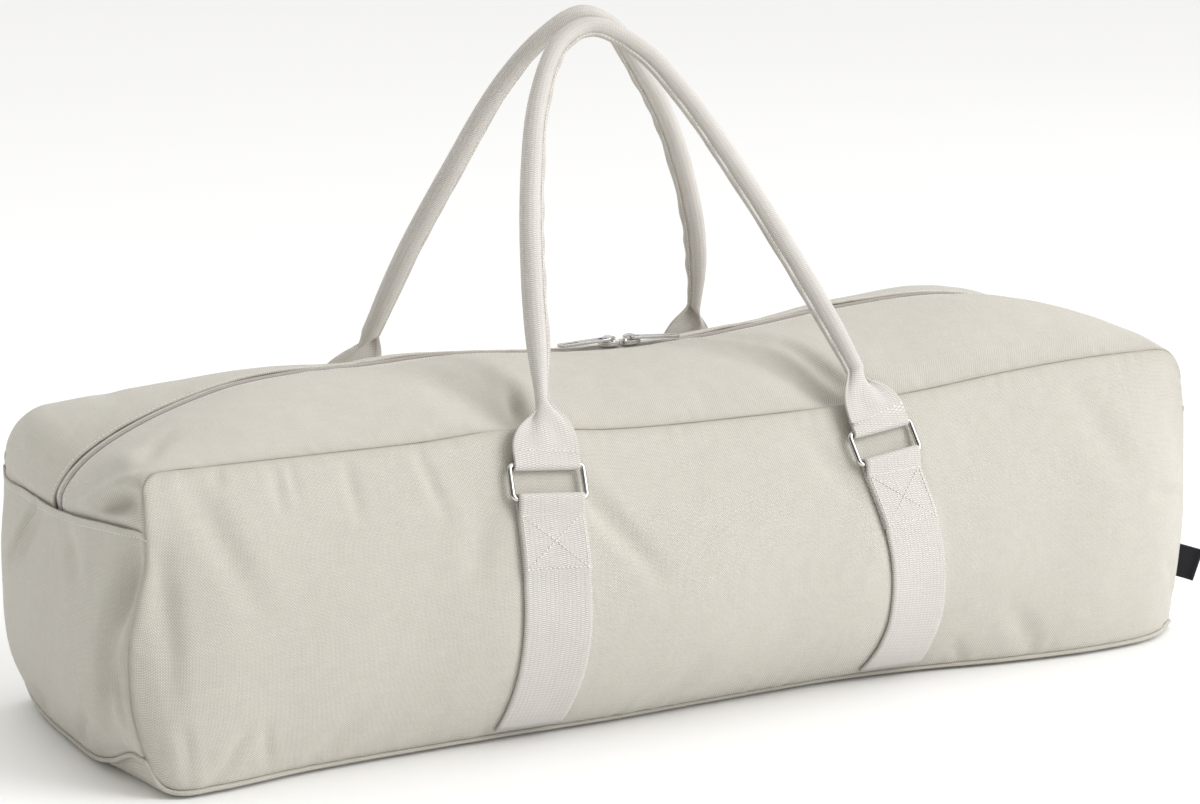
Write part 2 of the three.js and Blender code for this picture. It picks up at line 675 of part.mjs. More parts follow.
// Base welt: a cord round the base seam.
function baseWelt() {
  const outline = [
    ...columns[front].map((u) => panelPoint(front, u, 0)),
    ...acrossShares.slice(1, -1).map((w) => endPoint("right", w, 0)),
    ...[...columns[back]].reverse().map((u) => panelPoint(back, u, 0)),
    ...[...acrossShares].slice(1, -1).reverse().map((w) => endPoint("left", w, 0)),
  ];
  const sides = roundSides;
  const sections = outline.map((point, k) => {
    const before = outline[(k + outline.length - 1) % outline.length];
    const after = outline[(k + 1) % outline.length];
    const tangent = after.clone().sub(before).normalize();
    const away = inward(point).negate();
    away.addScaledVector(tangent, -away.dot(tangent)).normalize();
    const across = tangent.clone().cross(away);
    const centre = shift(point, away, weltRadius + 2 * gap);
    const section = [];
    for (let i = 0; i < sides; i += 1) {
      const angle = ((i + 0.5) * 2 * Math.PI) / sides;
      const spot = shift(centre, away, weltRadius * Math.cos(angle));
      section.push(spot.addScaledVector(across, weltRadius * Math.sin(angle)));
    }
    return section;
  });
  return throughRings(sections, true);
}

// Where a strap lies on its panel.
function uAt(side, x, v) {
  const left = halfLength * read(cornerSeams[side], "left", v);
  const right = halfLength * read(cornerSeams[side], "right", v);
  return (x + left) / (left + right);
}

function strapX(side, hand, v) {
  return (strapSpacing / 2) * read(strapPlaces[side], hand, v);
}

// Share of a panel's height at which its surface is a given height above the floor.
function rowAt(side, hand, z) {
  const middle = (v) => uAt(side, strapX(side, hand, v), v);
  let low = 0;
  let high = 1;
  for (let k = 0; k < 30; k += 1) {
    const v = (low + high) / 2;
    if (panelPoint(side, middle(v), v).z < z) low = v;
    else high = v;
  }
  return (low + high) / 2;
}

function panelNormal(side, u, v) {
  const step = 0.01;
  const along = panelPoint(side, u + step, v).sub(panelPoint(side, u - step, v));
  const up = panelPoint(side, u, v + step).sub(panelPoint(side, u, v - step));
  return along.cross(up).normalize().multiplyScalar(-side);
}

// A ring's middle and its three directions: right along the bar, up in its plane, and out of the bag.
function ringFrame(ring) {
  const v = rowAt(ring.side, ring.hand, ring.hand === "left" ? leftRingHeight : rightRingHeight);
  const u = uAt(ring.side, strapX(ring.side, ring.hand, v), v);
  const out = panelNormal(ring.side, u, v);
  const flat = vec(1, 0, 0).addScaledVector(out, -out.x).normalize();
  const right = flat.applyAxisAngle(out, THREE.MathUtils.degToRad(-ring.side * ring.tilt));
  const up = out.clone().cross(right).multiplyScalar(-ring.side).normalize();
  return { middle: shift(panelPoint(ring.side, u, v), out, ringStandOff), right, up, out };
}

const barDrop = (ringRise - ringWire) / 2; // a bar's middle line from the ring's middle
const ringHalf = (webbing + ringRoom + ringWire) / 2; // a side's middle line from the ring's middle
const foldRadius = ringWire / 2 + gap + webbingThickness / 2; // middle of webbing folded round a bar

function wireRing(ring) {
  const { middle, right, up, out } = ringFrame(ring);
  const sides = roundSides;
  const stepsPerCorner = 3;
  const centres = [];
  for (const [sx, sy] of [[1, 1], [-1, 1], [-1, -1], [1, -1]]) {
    const start = Math.atan2(sy, sx) - Math.PI / 4;
    for (let k = 0; k <= stepsPerCorner; k += 1) {
      const angle = start + (k * Math.PI) / 2 / stepsPerCorner;
      const direction = right.clone().multiplyScalar(Math.cos(angle)).addScaledVector(up, Math.sin(angle));
      const centre = shift(middle, right, sx * (ringHalf - ringCorner));
      centre.addScaledVector(up, sy * (barDrop - ringCorner)).addScaledVector(direction, ringCorner);
      centres.push({ centre, direction });
    }
  }
  const sections = centres.map(({ centre, direction }) => {
    const section = [];
    for (let i = 0; i < sides; i += 1) {
      const angle = ((i + 0.5) * 2 * Math.PI) / sides;
      const spot = shift(centre, direction, (ringWire / 2) * Math.cos(angle));
      section.push(spot.addScaledVector(out, (ringWire / 2) * Math.sin(angle)));
    }
    return section;
  });
  return throughRings(sections, true);
}

// A flat ribbon through rows of points across its width, thickened both ways along each row's normal.
function ribbon(rows) {
  return throughRings(
    rows.map((row) => {
      const half = webbingThickness / 2;
      const upper = row.map((spot) => shift(spot.point, spot.normal, half));
      const lower = row.map((spot) => shift(spot.point, spot.normal, -half));
      return [...upper, ...lower.reverse()];
    }),
  );
}

const foldSteps = [0, 45, 90, 135, 180]; // degrees round a bar

// A strap: up the panel, over its own folded-back end, round the ring's lower bar and down behind itself.
function strap(ring) {
  const { side, hand } = ring;
  const { middle, right, up, out } = ringFrame(ring);
  const bar = shift(middle, up, -barDrop);
  const across = [-webbing / 2, 0, webbing / 2];
  const layer = webbingThickness + gap;
  const single = strapLift + webbingThickness / 2;
  const onPanel = (z, offset, flip) => {
    const v = rowAt(side, hand, z);
    return across.map((x) => {
      const u = uAt(side, strapX(side, hand, v) + x, v);
      const normal = panelNormal(side, u, v);
      return { point: shift(panelPoint(side, u, v), normal, offset), normal: normal.multiplyScalar(flip) };
    });
  };
  const tuckEnd = bar.z - strapTuck;
  const lowRows = rowsBelowHem.slice(1).map((v) => panelPoint(side, uAt(side, strapX(side, hand, v), v), v).z);
  const clearRows = lowRows.filter((z) => z > strapStart + rowRoom / 2 && z < tuckEnd - rowRoom);
  const rows = [strapStart, ...clearRows].map((z) => onPanel(z, single, 1));
  rows.push(onPanel(tuckEnd - (2 * tuckStep) / 3, single, 1));
  rows.push(onPanel(tuckEnd + tuckStep / 3, single + layer, 1));
  rows.push(onPanel(mix(tuckEnd, bar.z, 0.5), single + layer, 1));
  rows.push(onPanel(bar.z - ringRun, single + layer, 1));
  for (const angle of foldSteps) {
    const turn = THREE.MathUtils.degToRad(angle);
    const normal = out.clone().multiplyScalar(Math.cos(turn)).addScaledVector(up, Math.sin(turn));
    const spot = shift(bar, normal, foldRadius);
    rows.push(across.map((x) => ({ point: shift(spot, right, x), normal })));
  }
  rows.push(onPanel(bar.z - ringRun, single, -1));
  rows.push(onPanel(mix(tuckEnd, bar.z, 0.5), single, -1));
  rows.push(onPanel(tuckEnd, single, -1));
  return ribbon(rows);
}

const flareSteps = 5;
const archSteps = 22;
const flareRush = 1.2; // above 1, the webbing is a full tube before the flare's far end

// Half sections of a handle in its own plane: b points to the inside of the arch, a out of its plane.
const flatSection = [-1, -0.6, -0.2, 0.2, 0.6, 1].map((share) => ({
  b: (share * webbing) / 2,
  a: webbingThickness / 2,
}));
const tubeSection = [
  ...[165, 122, 82, 46].map((degrees) => ({
    b: tubeRadius * Math.cos(THREE.MathUtils.degToRad(degrees)),
    a: tubeRadius * Math.sin(THREE.MathUtils.degToRad(degrees)),
  })),
  { b: tubeRadius, a: finThickness / 2 },
  { b: tubeRadius + finWidth, a: finThickness / 2 },
];

// A handle: folded up behind the left ring's upper bar, over it, through the arch and the same at the right ring.
function handle(side) {
  const left = ringFrame(rings.find((ring) => ring.side === side && ring.hand === "left"));
  const right = ringFrame(rings.find((ring) => ring.side === side && ring.hand === "right"));
  const bars = [shift(left.middle, left.up, barDrop), shift(right.middle, right.up, barDrop)];
  const rise = side === front ? handleRise : backHandleRise;
  const joint = foldRadius; // the handle's middle line passes in front of the bar
  const starts = [shift(bars[0], left.out, joint), shift(bars[1], right.out, joint)];
  const top = (bars[0].z + bars[1].z) / 2 + rise;
  const line = handleLines[side].map((row) => {
    const foot = blend(starts[0], starts[1], row.along);
    return vec(foot.x, mix(foot.y, (side * handleApart) / 2, row.rise), mix(foot.z, top, row.rise));
  });
  const flatFoot = flareLength / 4;
  const curve = new THREE.CatmullRomCurve3(
    [shift(starts[0], left.up, flatFoot), ...line, shift(starts[1], right.up, flatFoot)],
    false,
    "centripetal",
  );
  const length = curve.getLength();
  const sections = [];
  const addSection = (centre, a, b, round) => {
    const half = flatSection.map((flat, k) => ({
      b: mix(flat.b, tubeSection[k].b, round),
      a: mix(flat.a, tubeSection[k].a, round),
    }));
    const upper = half.map((spot) => shift(shift(centre, b, spot.b), a, spot.a));
    const lower = [...half].reverse().map((spot) => shift(shift(centre, b, spot.b), a, -spot.a));
    sections.push([...upper, ...lower]);
  };
  const foldEnd = (bar, frame, entering) => {
    const b = frame.right.clone().multiplyScalar(entering ? 1 : -1);
    const layers = (webbingThickness + gap) / 2;
    const back = [
      { rise: handleTuck, out: -layers - foldRadius / 2 },
      { rise: handleTuck / 3, out: -foldRadius },
    ];
    const list = back.map((spot) => ({
      centre: shift(shift(bar, frame.up, spot.rise), frame.out, spot.out),
      a: frame.out.clone().negate(),
    }));
    for (const angle of [...foldSteps].reverse()) {
      const turn = THREE.MathUtils.degToRad(angle);
      const a = frame.out.clone().multiplyScalar(Math.cos(turn)).addScaledVector(frame.up, -Math.sin(turn));
      list.push({ centre: shift(bar, a, foldRadius), a });
    }
    if (!entering) list.reverse();
    for (const spot of list) addSection(spot.centre, spot.a, b, 0);
  };
  foldEnd(bars[0], left, true);
  const places = [];
  for (let k = 0; k < flareSteps; k += 1) places.push((flareLength * k) / flareSteps);
  for (let k = 0; k <= archSteps; k += 1) {
    places.push(flareLength + ((length - 2 * flareLength) * k) / archSteps);
  }
  for (let k = flareSteps - 1; k >= 0; k -= 1) places.push(length - (flareLength * k) / flareSteps);
  for (const place of places) {
    const t = place / length;
    const tangent = curve.getTangentAt(t);
    const nearEnd = Math.min(place, length - place) / flareLength;
    const frame = t < 0.5 ? left : right;
    const plane = vec(0, side * (top - bars[0].z), Math.abs(bars[0].y)).normalize();
    const pathInside = tangent.clone().cross(plane).multiplyScalar(-side).normalize();
    const ringInside = frame.right.clone().multiplyScalar(t < 0.5 ? 1 : -1);
    const b = blend(ringInside, pathInside, ease(nearEnd));
    b.addScaledVector(tangent, -b.dot(tangent)).normalize();
    const a = b.clone().cross(tangent).multiplyScalar(-side);
    addSection(curve.getPointAt(t), a, b, ease(flareRush * nearEnd - (flareRush - 1) / 2));
  }
  foldEnd(bars[1], right, false);
  return throughRings(sections);
}

// Booleans between closed geometries.
function solid(geometry) {
  const bare = geometry.clone();
  bare.deleteAttribute("normal");
  bare.deleteAttribute("uv");
  const merged = mergeVertices(bare);
  const mesh = new wasm.Mesh({
    numProp: 3,
    vertProperties: new Float32Array(merged.attributes.position.array),
    triVerts: new Uint32Array(merged.index.array),
  });
  return new wasm.Manifold(mesh);
}

function geometryOf(manifold) {
  const mesh = manifold.getMesh();
  const geometry = new THREE.BufferGeometry();
  geometry.setAttribute("position", new THREE.BufferAttribute(mesh.vertProperties, 3));
  geometry.setIndex(new THREE.BufferAttribute(mesh.triVerts, 1));
  return geometry;
}

const plainExtrude = { bevelEnabled: false, curveSegments: 4 };

function roundedBar(length, width, radius) {
  const shape = new THREE.Shape();
  const [x, y, r] = [length / 2, width / 2, radius];
  shape.moveTo(-x + r, -y);
  shape.lineTo(x - r, -y);
  shape.absarc(x - r, -y + r, r, -Math.PI / 2, 0);
  shape.lineTo(x, y - r);
  shape.absarc(x - r, y - r, r, 0, Math.PI / 2);
  shape.lineTo(-x + r, y);
  shape.absarc(-x + r, y - r, r, Math.PI / 2, Math.PI);
  shape.lineTo(-x, -y + r);
  shape.absarc(-x + r, -y + r, r, Math.PI, 1.5 * Math.PI);
  return shape;
}

// Slider with its crown, seen with its wide end to the left and its underside at z = 0.
function sliderGeometry() {
  const plan = new THREE.Shape();
  const [x, wide, narrow] = [sliderLength / 2, sliderWidth / 2, sliderNose / 2];
  plan.moveTo(-x, -wide * 0.7);
  plan.lineTo(-x * 0.7, -wide);
  plan.lineTo(0, -wide);
  plan.lineTo(x, -narrow);
  plan.lineTo(x, narrow);
  plan.lineTo(0, wide);
  plan.lineTo(-x * 0.7, wide);
  plan.lineTo(-x, wide * 0.7);
  const body = new THREE.ExtrudeGeometry(plan, { ...plainExtrude, depth: sliderHeight });
  const crownRise = pinHeight + tabThickness / 2 + gap + crownWall;
  const sink = sliderHeight / 2;
  const arch = new THREE.Shape();
  const [outer, inner] = [crownLength / 2, crownLength / 2 - crownWall];
  const [eyeTop, top] = [crownRise - crownWall, crownRise];
  arch.moveTo(-outer, -sink);
  arch.lineTo(-inner, -sink);
  arch.lineTo(-inner, eyeTop * 0.8);
  arch.lineTo(-inner * 0.8, eyeTop);
  arch.lineTo(inner * 0.8, eyeTop);
  arch.lineTo(inner, eyeTop * 0.8);
  arch.lineTo(inner, -sink);
  arch.lineTo(outer, -sink);
  arch.lineTo(outer, top * 0.6);
  arch.lineTo(outer * 0.7, top);
  arch.lineTo(-outer * 0.7, top);
  arch.lineTo(-outer, top * 0.6);
  const crown = new THREE.ExtrudeGeometry(arch, { ...plainExtrude, depth: crownWidth });
  crown.rotateX(Math.PI / 2).translate(0, crownWidth / 2, sliderHeight);
  return geometryOf(solid(body).add(solid(crown)));
}

// Pull tab, pointing along +X from its pin at the origin.
function tabGeometry() {
  const shape = roundedBar(tabLength, tabWidth, tabWidth / 4);
  const pinEnd = -tabLength / 2;
  const eye = roundedBar(tabEye, crownWidth + 2 * tabEyeRoom, tabHoleCorner);
  const slot = roundedBar(tabSlot, tabSlotWidth, tabHoleCorner);
  const moved = (hole, x) => new THREE.Path(hole.getPoints(4).map((p) => new THREE.Vector2(p.x + x, p.y)));
  shape.holes.push(moved(eye, pinEnd + pinWidth + tabEye / 2));
  shape.holes.push(moved(slot, tabLength / 2 - tabSlot / 2 - pinWidth * 2));
  const geometry = new THREE.ExtrudeGeometry(shape, { ...plainExtrude, depth: tabThickness });
  return geometry.translate(tabLength / 2 - pinWidth / 2, 0, -tabThickness / 2);
}

function sliderGroup(hand) {
  const direction = hand === "left" ? -1 : 1;
  const x = sliderMiddle + (direction * sliderSpacing) / 2;
  const seat = coilTop(x);
  const group = new THREE.Group();
  group.position.set(x, 0, seat.z + gap);
  group.rotation.y = -seat.angle;
  const half = new THREE.Group();
  half.rotation.z = direction === 1 ? 0 : Math.PI;
  half.add(named("slider_" + hand, sliderGeometry(), material("metal", 0.25, 1)));
  const tab = named("pull_" + hand, tabGeometry(), material("metal", 0.25, 1));
  tab.position.set(0, 0, sliderHeight + pinHeight);
  tab.rotation.y = THREE.MathUtils.degToRad(tabRest);
  half.add(tab);
  group.add(half);
  return group;
}

// Side tag: a ribbon folded in two, its open edges at the right front corner seam.
function sideTag() {
  const v = tagHeight / seamHeight;
  const seam = panelPoint(front, 1, v);
  const away = inward(seam).negate().setZ(0).normalize();
  const fold = new THREE.Shape();
  const [long, half, room] = [tagReach, tagRibbon + gap / 2, gap / 2];
  fold.moveTo(0, -half);
  fold.lineTo(long - half, -half);
  fold.lineTo(long, -half / 2);
  fold.lineTo(long, half / 2);
  fold.lineTo(long - half, half);
  fold.lineTo(0, half);
  fold.lineTo(0, room);
  fold.lineTo(long - half, room);
  fold.lineTo(long - half, -room);
  fold.lineTo(0, -room);
  const geometry = new THREE.ExtrudeGeometry(fold, { ...plainExtrude, depth: tagWidth });
  geometry.translate(3 * gap, 0, -tagWidth / 2);
  geometry.rotateZ(Math.atan2(away.y, away.x) / 2);
  return geometry.translate(seam.x, seam.y, seam.z);
}

function named(name, geometry, finish) {
  const mesh = new THREE.Mesh(geometry, finish);
  mesh.name = name;
  return mesh;
}

const bag = new THREE.Group();
const cloth = material("canvas", 0.9, 0);
const addCloth = (name, geometry) => bag.add(named(name, geometry, cloth.clone()));
addCloth("front_panel", longPanel(front));
addCloth("back_panel", longPanel(back));
addCloth("gusset_front", gusset(front));
addCloth("gusset_back", gusset(back));
addCloth("end_panel_left", endPanel("left"));
addCloth("end_panel_right", endPanel("right"));
addCloth("base_panel", basePanel());
addCloth("base_welt", baseWelt());

const tape = zipStrip(tapeWidth / 2, tuckDepth, tuckDepth + tapeThickness, tapeDroop);
bag.add(named("zip_tape", tape, material("tape", 0.85, 0)));
bag.add(named("zip_teeth", zipStrip(coilWidth / 2, -coilProud, canvas, gap / 2), material("coil", 0.5, 0)));
bag.add(sliderGroup("left"), sliderGroup("right"));

for (const ring of rings) {
  bag.add(named("strap_" + ring.name, strap(ring), material("webbing", 0.85, 0)));
  bag.add(named("ring_" + ring.name, wireRing(ring), material("metal", 0.2, 1)));
}
bag.add(named("handle_front", handle(front), material("webbing", 0.85, 0)));
bag.add(named("handle_back", handle(back), material("webbing", 0.85, 0)));
bag.add(named("side_tag", sideTag(), material("tag", 0.6, 0)));

export default bag;
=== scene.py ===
# %% [markdown]
# # A canvas yoga mat bag
#
# The bag is one long canvas body on a flat base. A zip runs along its top, and two webbing handles
# hang on four wire rings. Everything is worked out in millimetres, in the same frame as the CAD: X
# runs along the bag, the front faces -Y, and the floor is Z = 0. Each piece here takes the place of
# one CAD solid and gives it the folds, the stitching and the weave that a plain solid lacks.

# %% Frame
import json
import math

import bmesh
import bpy
import numpy as np
from mathutils import Matrix, Vector

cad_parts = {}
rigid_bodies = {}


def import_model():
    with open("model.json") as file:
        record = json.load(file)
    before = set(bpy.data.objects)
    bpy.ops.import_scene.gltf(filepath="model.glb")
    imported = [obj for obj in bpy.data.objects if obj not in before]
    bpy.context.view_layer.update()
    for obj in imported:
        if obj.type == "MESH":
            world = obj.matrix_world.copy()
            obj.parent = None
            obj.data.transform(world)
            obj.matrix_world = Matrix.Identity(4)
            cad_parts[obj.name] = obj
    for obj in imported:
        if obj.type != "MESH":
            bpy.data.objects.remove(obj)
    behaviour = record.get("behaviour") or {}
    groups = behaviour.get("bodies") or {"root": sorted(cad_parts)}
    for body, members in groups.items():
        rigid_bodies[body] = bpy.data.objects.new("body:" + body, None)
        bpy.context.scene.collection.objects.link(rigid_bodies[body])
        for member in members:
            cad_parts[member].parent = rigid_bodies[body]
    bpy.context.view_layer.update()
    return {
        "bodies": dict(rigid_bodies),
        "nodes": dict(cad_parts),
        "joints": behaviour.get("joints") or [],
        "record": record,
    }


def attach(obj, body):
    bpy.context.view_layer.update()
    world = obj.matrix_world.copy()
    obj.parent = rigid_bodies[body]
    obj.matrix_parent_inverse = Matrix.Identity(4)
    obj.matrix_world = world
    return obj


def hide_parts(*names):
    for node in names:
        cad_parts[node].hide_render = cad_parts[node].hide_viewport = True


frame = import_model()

MM = 0.001

# %% [markdown]
# ## Camera
#
# The photograph was taken from the left front, a little above the bag, with a long lens, which
# keeps the far end almost as tall as the near one. A 90 mm lens on a 36 mm sensor gives the same
# gentle perspective.

# %% Camera
VIEW_AZIMUTH, VIEW_ELEVATION = -30.4, 10.58
VIEW_DISTANCE = 2082.3 * MM
VIEW_TARGET = Vector((-17.74, 0, 189.15)) * MM


def add_object(name, data):
    made = bpy.data.objects.new(name, data)
    bpy.context.collection.objects.link(made)
    return made


def put_at(item, target, azimuth, elevation, distance):
    """Puts a camera or light in a direction from a target, in degrees right of the front and up, and aims it."""
    a, e = math.radians(azimuth), math.radians(elevation)
    away = Vector((math.sin(a) * math.cos(e), -math.cos(a) * math.cos(e), math.sin(e)))
    item.location = target + away * distance
    item.rotation_euler = (-away).to_track_quat("-Z", "Y").to_euler()


camera_data = bpy.data.cameras.new("camera")
camera_data.lens = 90
camera_data.sensor_width = 36
camera = add_object("camera", camera_data)
put_at(camera, VIEW_TARGET, VIEW_AZIMUTH, VIEW_ELEVATION, VIEW_DISTANCE)
bpy.context.scene.camera = camera
bpy.context.scene.view_settings.view_transform = "Standard"
print("camera at", [round(v, 3) for v in camera.location])

# %% [markdown]
# ## Sizes
#
# Nearly all of these are sizes that the CAD part uses too, so that every piece here sits where its
# solid does. Only the canvas is thinner here, and the zip's opening wider. A length that belongs to
# one piece is named where that piece is made.

# %% Sizes
FRONT, BACK = -1, 1
LENGTH = 800
HALF = LENGTH / 2
BASE_DEPTH, TOP_DEPTH = 250, 230
SEAM_HEIGHT = 200
ZIP_RISE = 30
HEM_HEIGHT = 164
HEM_ROW = HEM_HEIGHT / SEAM_HEIGHT
BASE_SEAM_HEIGHT = 4.2
CORNER_LIFT = 20
BASE_TURN = 20
PANEL_PUFF, END_PUFF, GUSSET_PUFF = 45, 8, 16
HEM_PUFF, HEM_DIP, HEM_LAP = 10, 6, 12
BASE_END_PUFF = 6
PANEL_SAG, END_SAG = 0.75, 0.8
CORNER_RADII = {FRONT: (10, 24), BACK: (32, 32)}
GAP = 0.3
CANVAS = 1.5
LAYER = 2.1  # from a hem's face to the face of the cloth behind it
ZIP_OPENING = 16
END_REACH = 40  # how far from an end the panels' rows follow the hem's height
HEM_BEND = 11  # length in which a gusset or the zip bends in behind a hem

# %% [markdown]
# ## Tables of the bag's form
#
# A filled canvas bag isn't a box with five flat sides. Its long panels are fullest below the
# middle, its seams wander, and its top sinks where the handles pull. One way to get that is to
# sculpt it by hand. Here each changing size is read from a short table along the bag instead, with
# a smooth curve through the rows, because a table is easy to compare with the real bag and to
# change.

# %% Reading a table
def table(columns, *rows):
    """Columns of numbers by name, from rows in order of their first column."""
    return dict(zip(columns.split(), np.array(rows, float).T))


def mix(a, b, t):
    return a + (b - a) * t


def ease(t):
    t = np.clip(t, 0, 1)
    return t * t * (3 - 2 * t)


def bell(x, width):
    """1 where x is 0, and next to nothing two widths away."""
    return np.exp(-((x / width) ** 2))


def read(rows, column, at):
    """Value of a column at any place, on a smooth curve through the rows."""
    x, y = rows["at"], rows[column]
    at = np.asarray(at, float)
    chord = np.diff(y) / np.diff(x)
    slope = np.concatenate([chord[:1], (chord[:-1] + chord[1:]) / 2, chord[-1:]])
    slope[1:-1] *= np.where(chord[:-1] * chord[1:] <= 0, 0.35, 1)
    k = np.clip(np.searchsorted(x, at, side="left") - 1, 0, len(x) - 2)
    width = x[k + 1] - x[k]
    t = np.clip((at - x[k]) / width, 0, 1)
    s = 1 - t
    return (
        s * s * (1 + 2 * t) * y[k] + t * s * s * width * slope[k]
        + t * t * (1 + 2 * s) * y[k + 1] - t * t * s * width * slope[k + 1]
    )


# %% Long panels, corners and ends
long_panels = {
    FRONT: table(
        "at top_up top_out base_out base_up puff",
        (-1, 1, 1, 0.96, 1, 0), (-0.985, 1.003, 1, 0.99, 0.3, 0.04), (-0.955, 1.005, 1, 1.05, 0, 0.12),
        (-0.9, 1.005, 1, 1.06, 0, 0.26), (-0.75, 1.005, 1, 1, 0, 0.48), (-0.55, 1.005, 1, 0.98, 0, 0.65),
        (-0.4, 1.018, 1, 0.98, 0, 0.8), (-0.2, 0.98, 1, 0.995, 0, 0.93), (0, 0.97, 1, 0.975, 0, 1),
        (0.22, 0.972, 1, 0.965, 0, 1), (0.4, 0.99, 1, 1.02, 0, 0.78), (0.6, 1.025, 1, 1.15, 0, 0.52),
        (0.78, 1.045, 1, 1.21, 0, 0.4), (0.92, 1.047, 1, 1.15, 0, 0.25), (1, 1.045, 1, 0.98, 0.05, 0),
    ),
    BACK: table(
        "at top_up top_out base_out base_up puff",
        (-1, 1, 1.1, 0.98, 0.4, 0), (-0.9, 1.01, 1.09, 1, 0, 0.25), (-0.6, 1.01, 1.06, 0.98, 0, 0.55),
        (-0.3, 1, 1.03, 0.97, 0, 0.75), (0, 0.985, 1, 0.97, 0, 0.85), (0.35, 0.99, 1, 0.98, 0, 0.7),
        (0.7, 1.03, 1.02, 1.03, 0, 0.45), (0.92, 1.035, 1.04, 1.02, 0.05, 0.2), (1, 1.03, 1.04, 0.97, 0.4, 0),
    ),
}
corner_seams = {
    FRONT: table(
        "at left right",
        (0, 1.018, 0.995), (0.12, 1.032, 1.008), (0.25, 1.04, 1.02), (0.43, 1.038, 1.03),
        (0.58, 1.022, 1.03), (0.73, 1.006, 1.03), (1, 1.007, 1.022),
    ),
    BACK: table(
        "at left right",
        (0, 0.988, 0.99), (0.2, 1.016, 1.01), (0.5, 1.018, 1.02), (0.8, 1.013, 1.02), (1, 1.01, 1.015),
    ),
}
end_panels = table(
    "at dip hem_out left_lift right_lift puff",
    (0, 0, 0, 1, 0.05, 0), (0.08, 0, 0.5, 0.95, 0.05, 0.3), (0.2, 0.2, 0.95, 0.4, 0.03, 0.65),
    (0.35, 0.7, 1.15, 0.05, 0, 0.9), (0.5, 1, 1.15, 0.05, 0, 1), (0.75, 0.9, 0.9, 0, 0, 0.9),
    (0.92, 0.7, 0.75, 0.15, 0.15, 0.45), (1, 0, 0, 0.4, 0.4, 0),
)
print("rows in the front panel's table:", len(long_panels[FRONT]["at"]))

# %% [markdown]
# ## Surfaces
#
# A point of a long panel is found from u, which runs from the left corner to the right one, and v,
# which runs from the base seam up to the top seam. The ends and the base are stretched between the
# long panels' edges, so that neighbours always share one seam.

# %% Long panel surface
def corner_drop(distance, radius):
    reach = np.clip(radius - distance, 0, radius)
    return np.where(distance < radius, radius - np.sqrt(radius**2 - reach**2), 0)


def top_seam_z(side, u):
    left, right = CORNER_RADII[side]
    drop = corner_drop(u * LENGTH, left) + corner_drop((1 - u) * LENGTH, right)
    return SEAM_HEIGHT * read(long_panels[side], "top_up", 2 * u - 1) - drop


def base_seam_z(side, u):
    return BASE_SEAM_HEIGHT + CORNER_LIFT * read(long_panels[side], "base_up", 2 * u - 1)


def panel_point(side, u, v):
    u, v = np.broadcast_arrays(np.asarray(u, float), np.asarray(v, float))
    rows, at = long_panels[side], 2 * u - 1
    left = -HALF * read(corner_seams[side], "left", v)
    right = HALF * read(corner_seams[side], "right", v)
    top_out = TOP_DEPTH / 2 * read(rows, "top_out", at)
    base_out = BASE_DEPTH / 2 * read(rows, "base_out", at)
    puff = PANEL_PUFF * read(rows, "puff", at) * np.sin(np.pi * np.clip(v, 0, None) ** PANEL_SAG)
    low, high = base_seam_z(side, u), top_seam_z(side, u)
    to_hem = mix(low, HEM_HEIGHT, v / HEM_ROW)
    above_hem = mix(HEM_HEIGHT, high, (v - HEM_ROW) / (1 - HEM_ROW))
    at_end = bell(np.minimum(u, 1 - u) * LENGTH, END_REACH)
    z = mix(mix(low, high, v), np.where(v < HEM_ROW, to_hem, above_hem), at_end)
    return np.stack([mix(left, right, u), side * (mix(base_out, top_out, v) + puff), z], -1)


# %% End and base surfaces
def end_point(hand, w, v):
    """Point of an end panel (hand -1 is the left end): w from front to back, v from the base seam to the hem."""
    w, v = np.broadcast_arrays(np.asarray(w, float), np.asarray(v, float))
    u = 0.0 if hand < 0 else 1.0
    lift = "left_lift" if hand < 0 else "right_lift"
    at = v / HEM_ROW
    point = mix(panel_point(FRONT, u, v), panel_point(BACK, u, v), w[..., None])
    bow = BASE_END_PUFF * 4 * w * (1 - w) * (1 - at)
    swell = END_PUFF * read(end_panels, "puff", w) * np.sin(np.pi * np.clip(at, 0, 1) ** END_SAG)
    point[..., 0] += hand * (bow + swell + HEM_PUFF * read(end_panels, "hem_out", w) * at)
    corners = mix(end_panels[lift][0], end_panels[lift][-1], w)
    raised = CORNER_LIFT * (read(end_panels, lift, w) - corners)
    point[..., 2] += raised * (1 - at) - HEM_DIP * read(end_panels, "dip", w) * at
    return point


def base_point(front_u, back_u, w):
    near, far = panel_point(FRONT, front_u, 0), panel_point(BACK, back_u, 0)
    flat = mix(near, far, w[..., None])
    u = mix(front_u, back_u, w)
    left, right = end_point(-1, w, 0), end_point(1, w, 0)
    straight = [mix(panel_point(FRONT, end, 0)[0], panel_point(BACK, end, 0)[0], w) for end in (0.0, 1.0)]
    x = flat[..., 0] + mix(left[..., 0] - straight[0], right[..., 0] - straight[1], u)

    def turned(distance):
        return (1 - np.clip(distance / BASE_TURN, 0, 1)) ** 3

    to_front, to_back = turned(flat[..., 1] - near[..., 1]), turned(far[..., 1] - flat[..., 1])
    to_left, to_right = turned(x - left[..., 0]), turned(right[..., 0] - x)
    z = near[..., 2] * to_front + far[..., 2] * to_back + left[..., 2] * to_left + right[..., 2] * to_right
    for side, across in ((FRONT, to_front), (BACK, to_back)):
        z -= base_seam_z(side, 0.0) * across * to_left + base_seam_z(side, 1.0) * across * to_right
    return np.stack([x, flat[..., 1], z], -1)
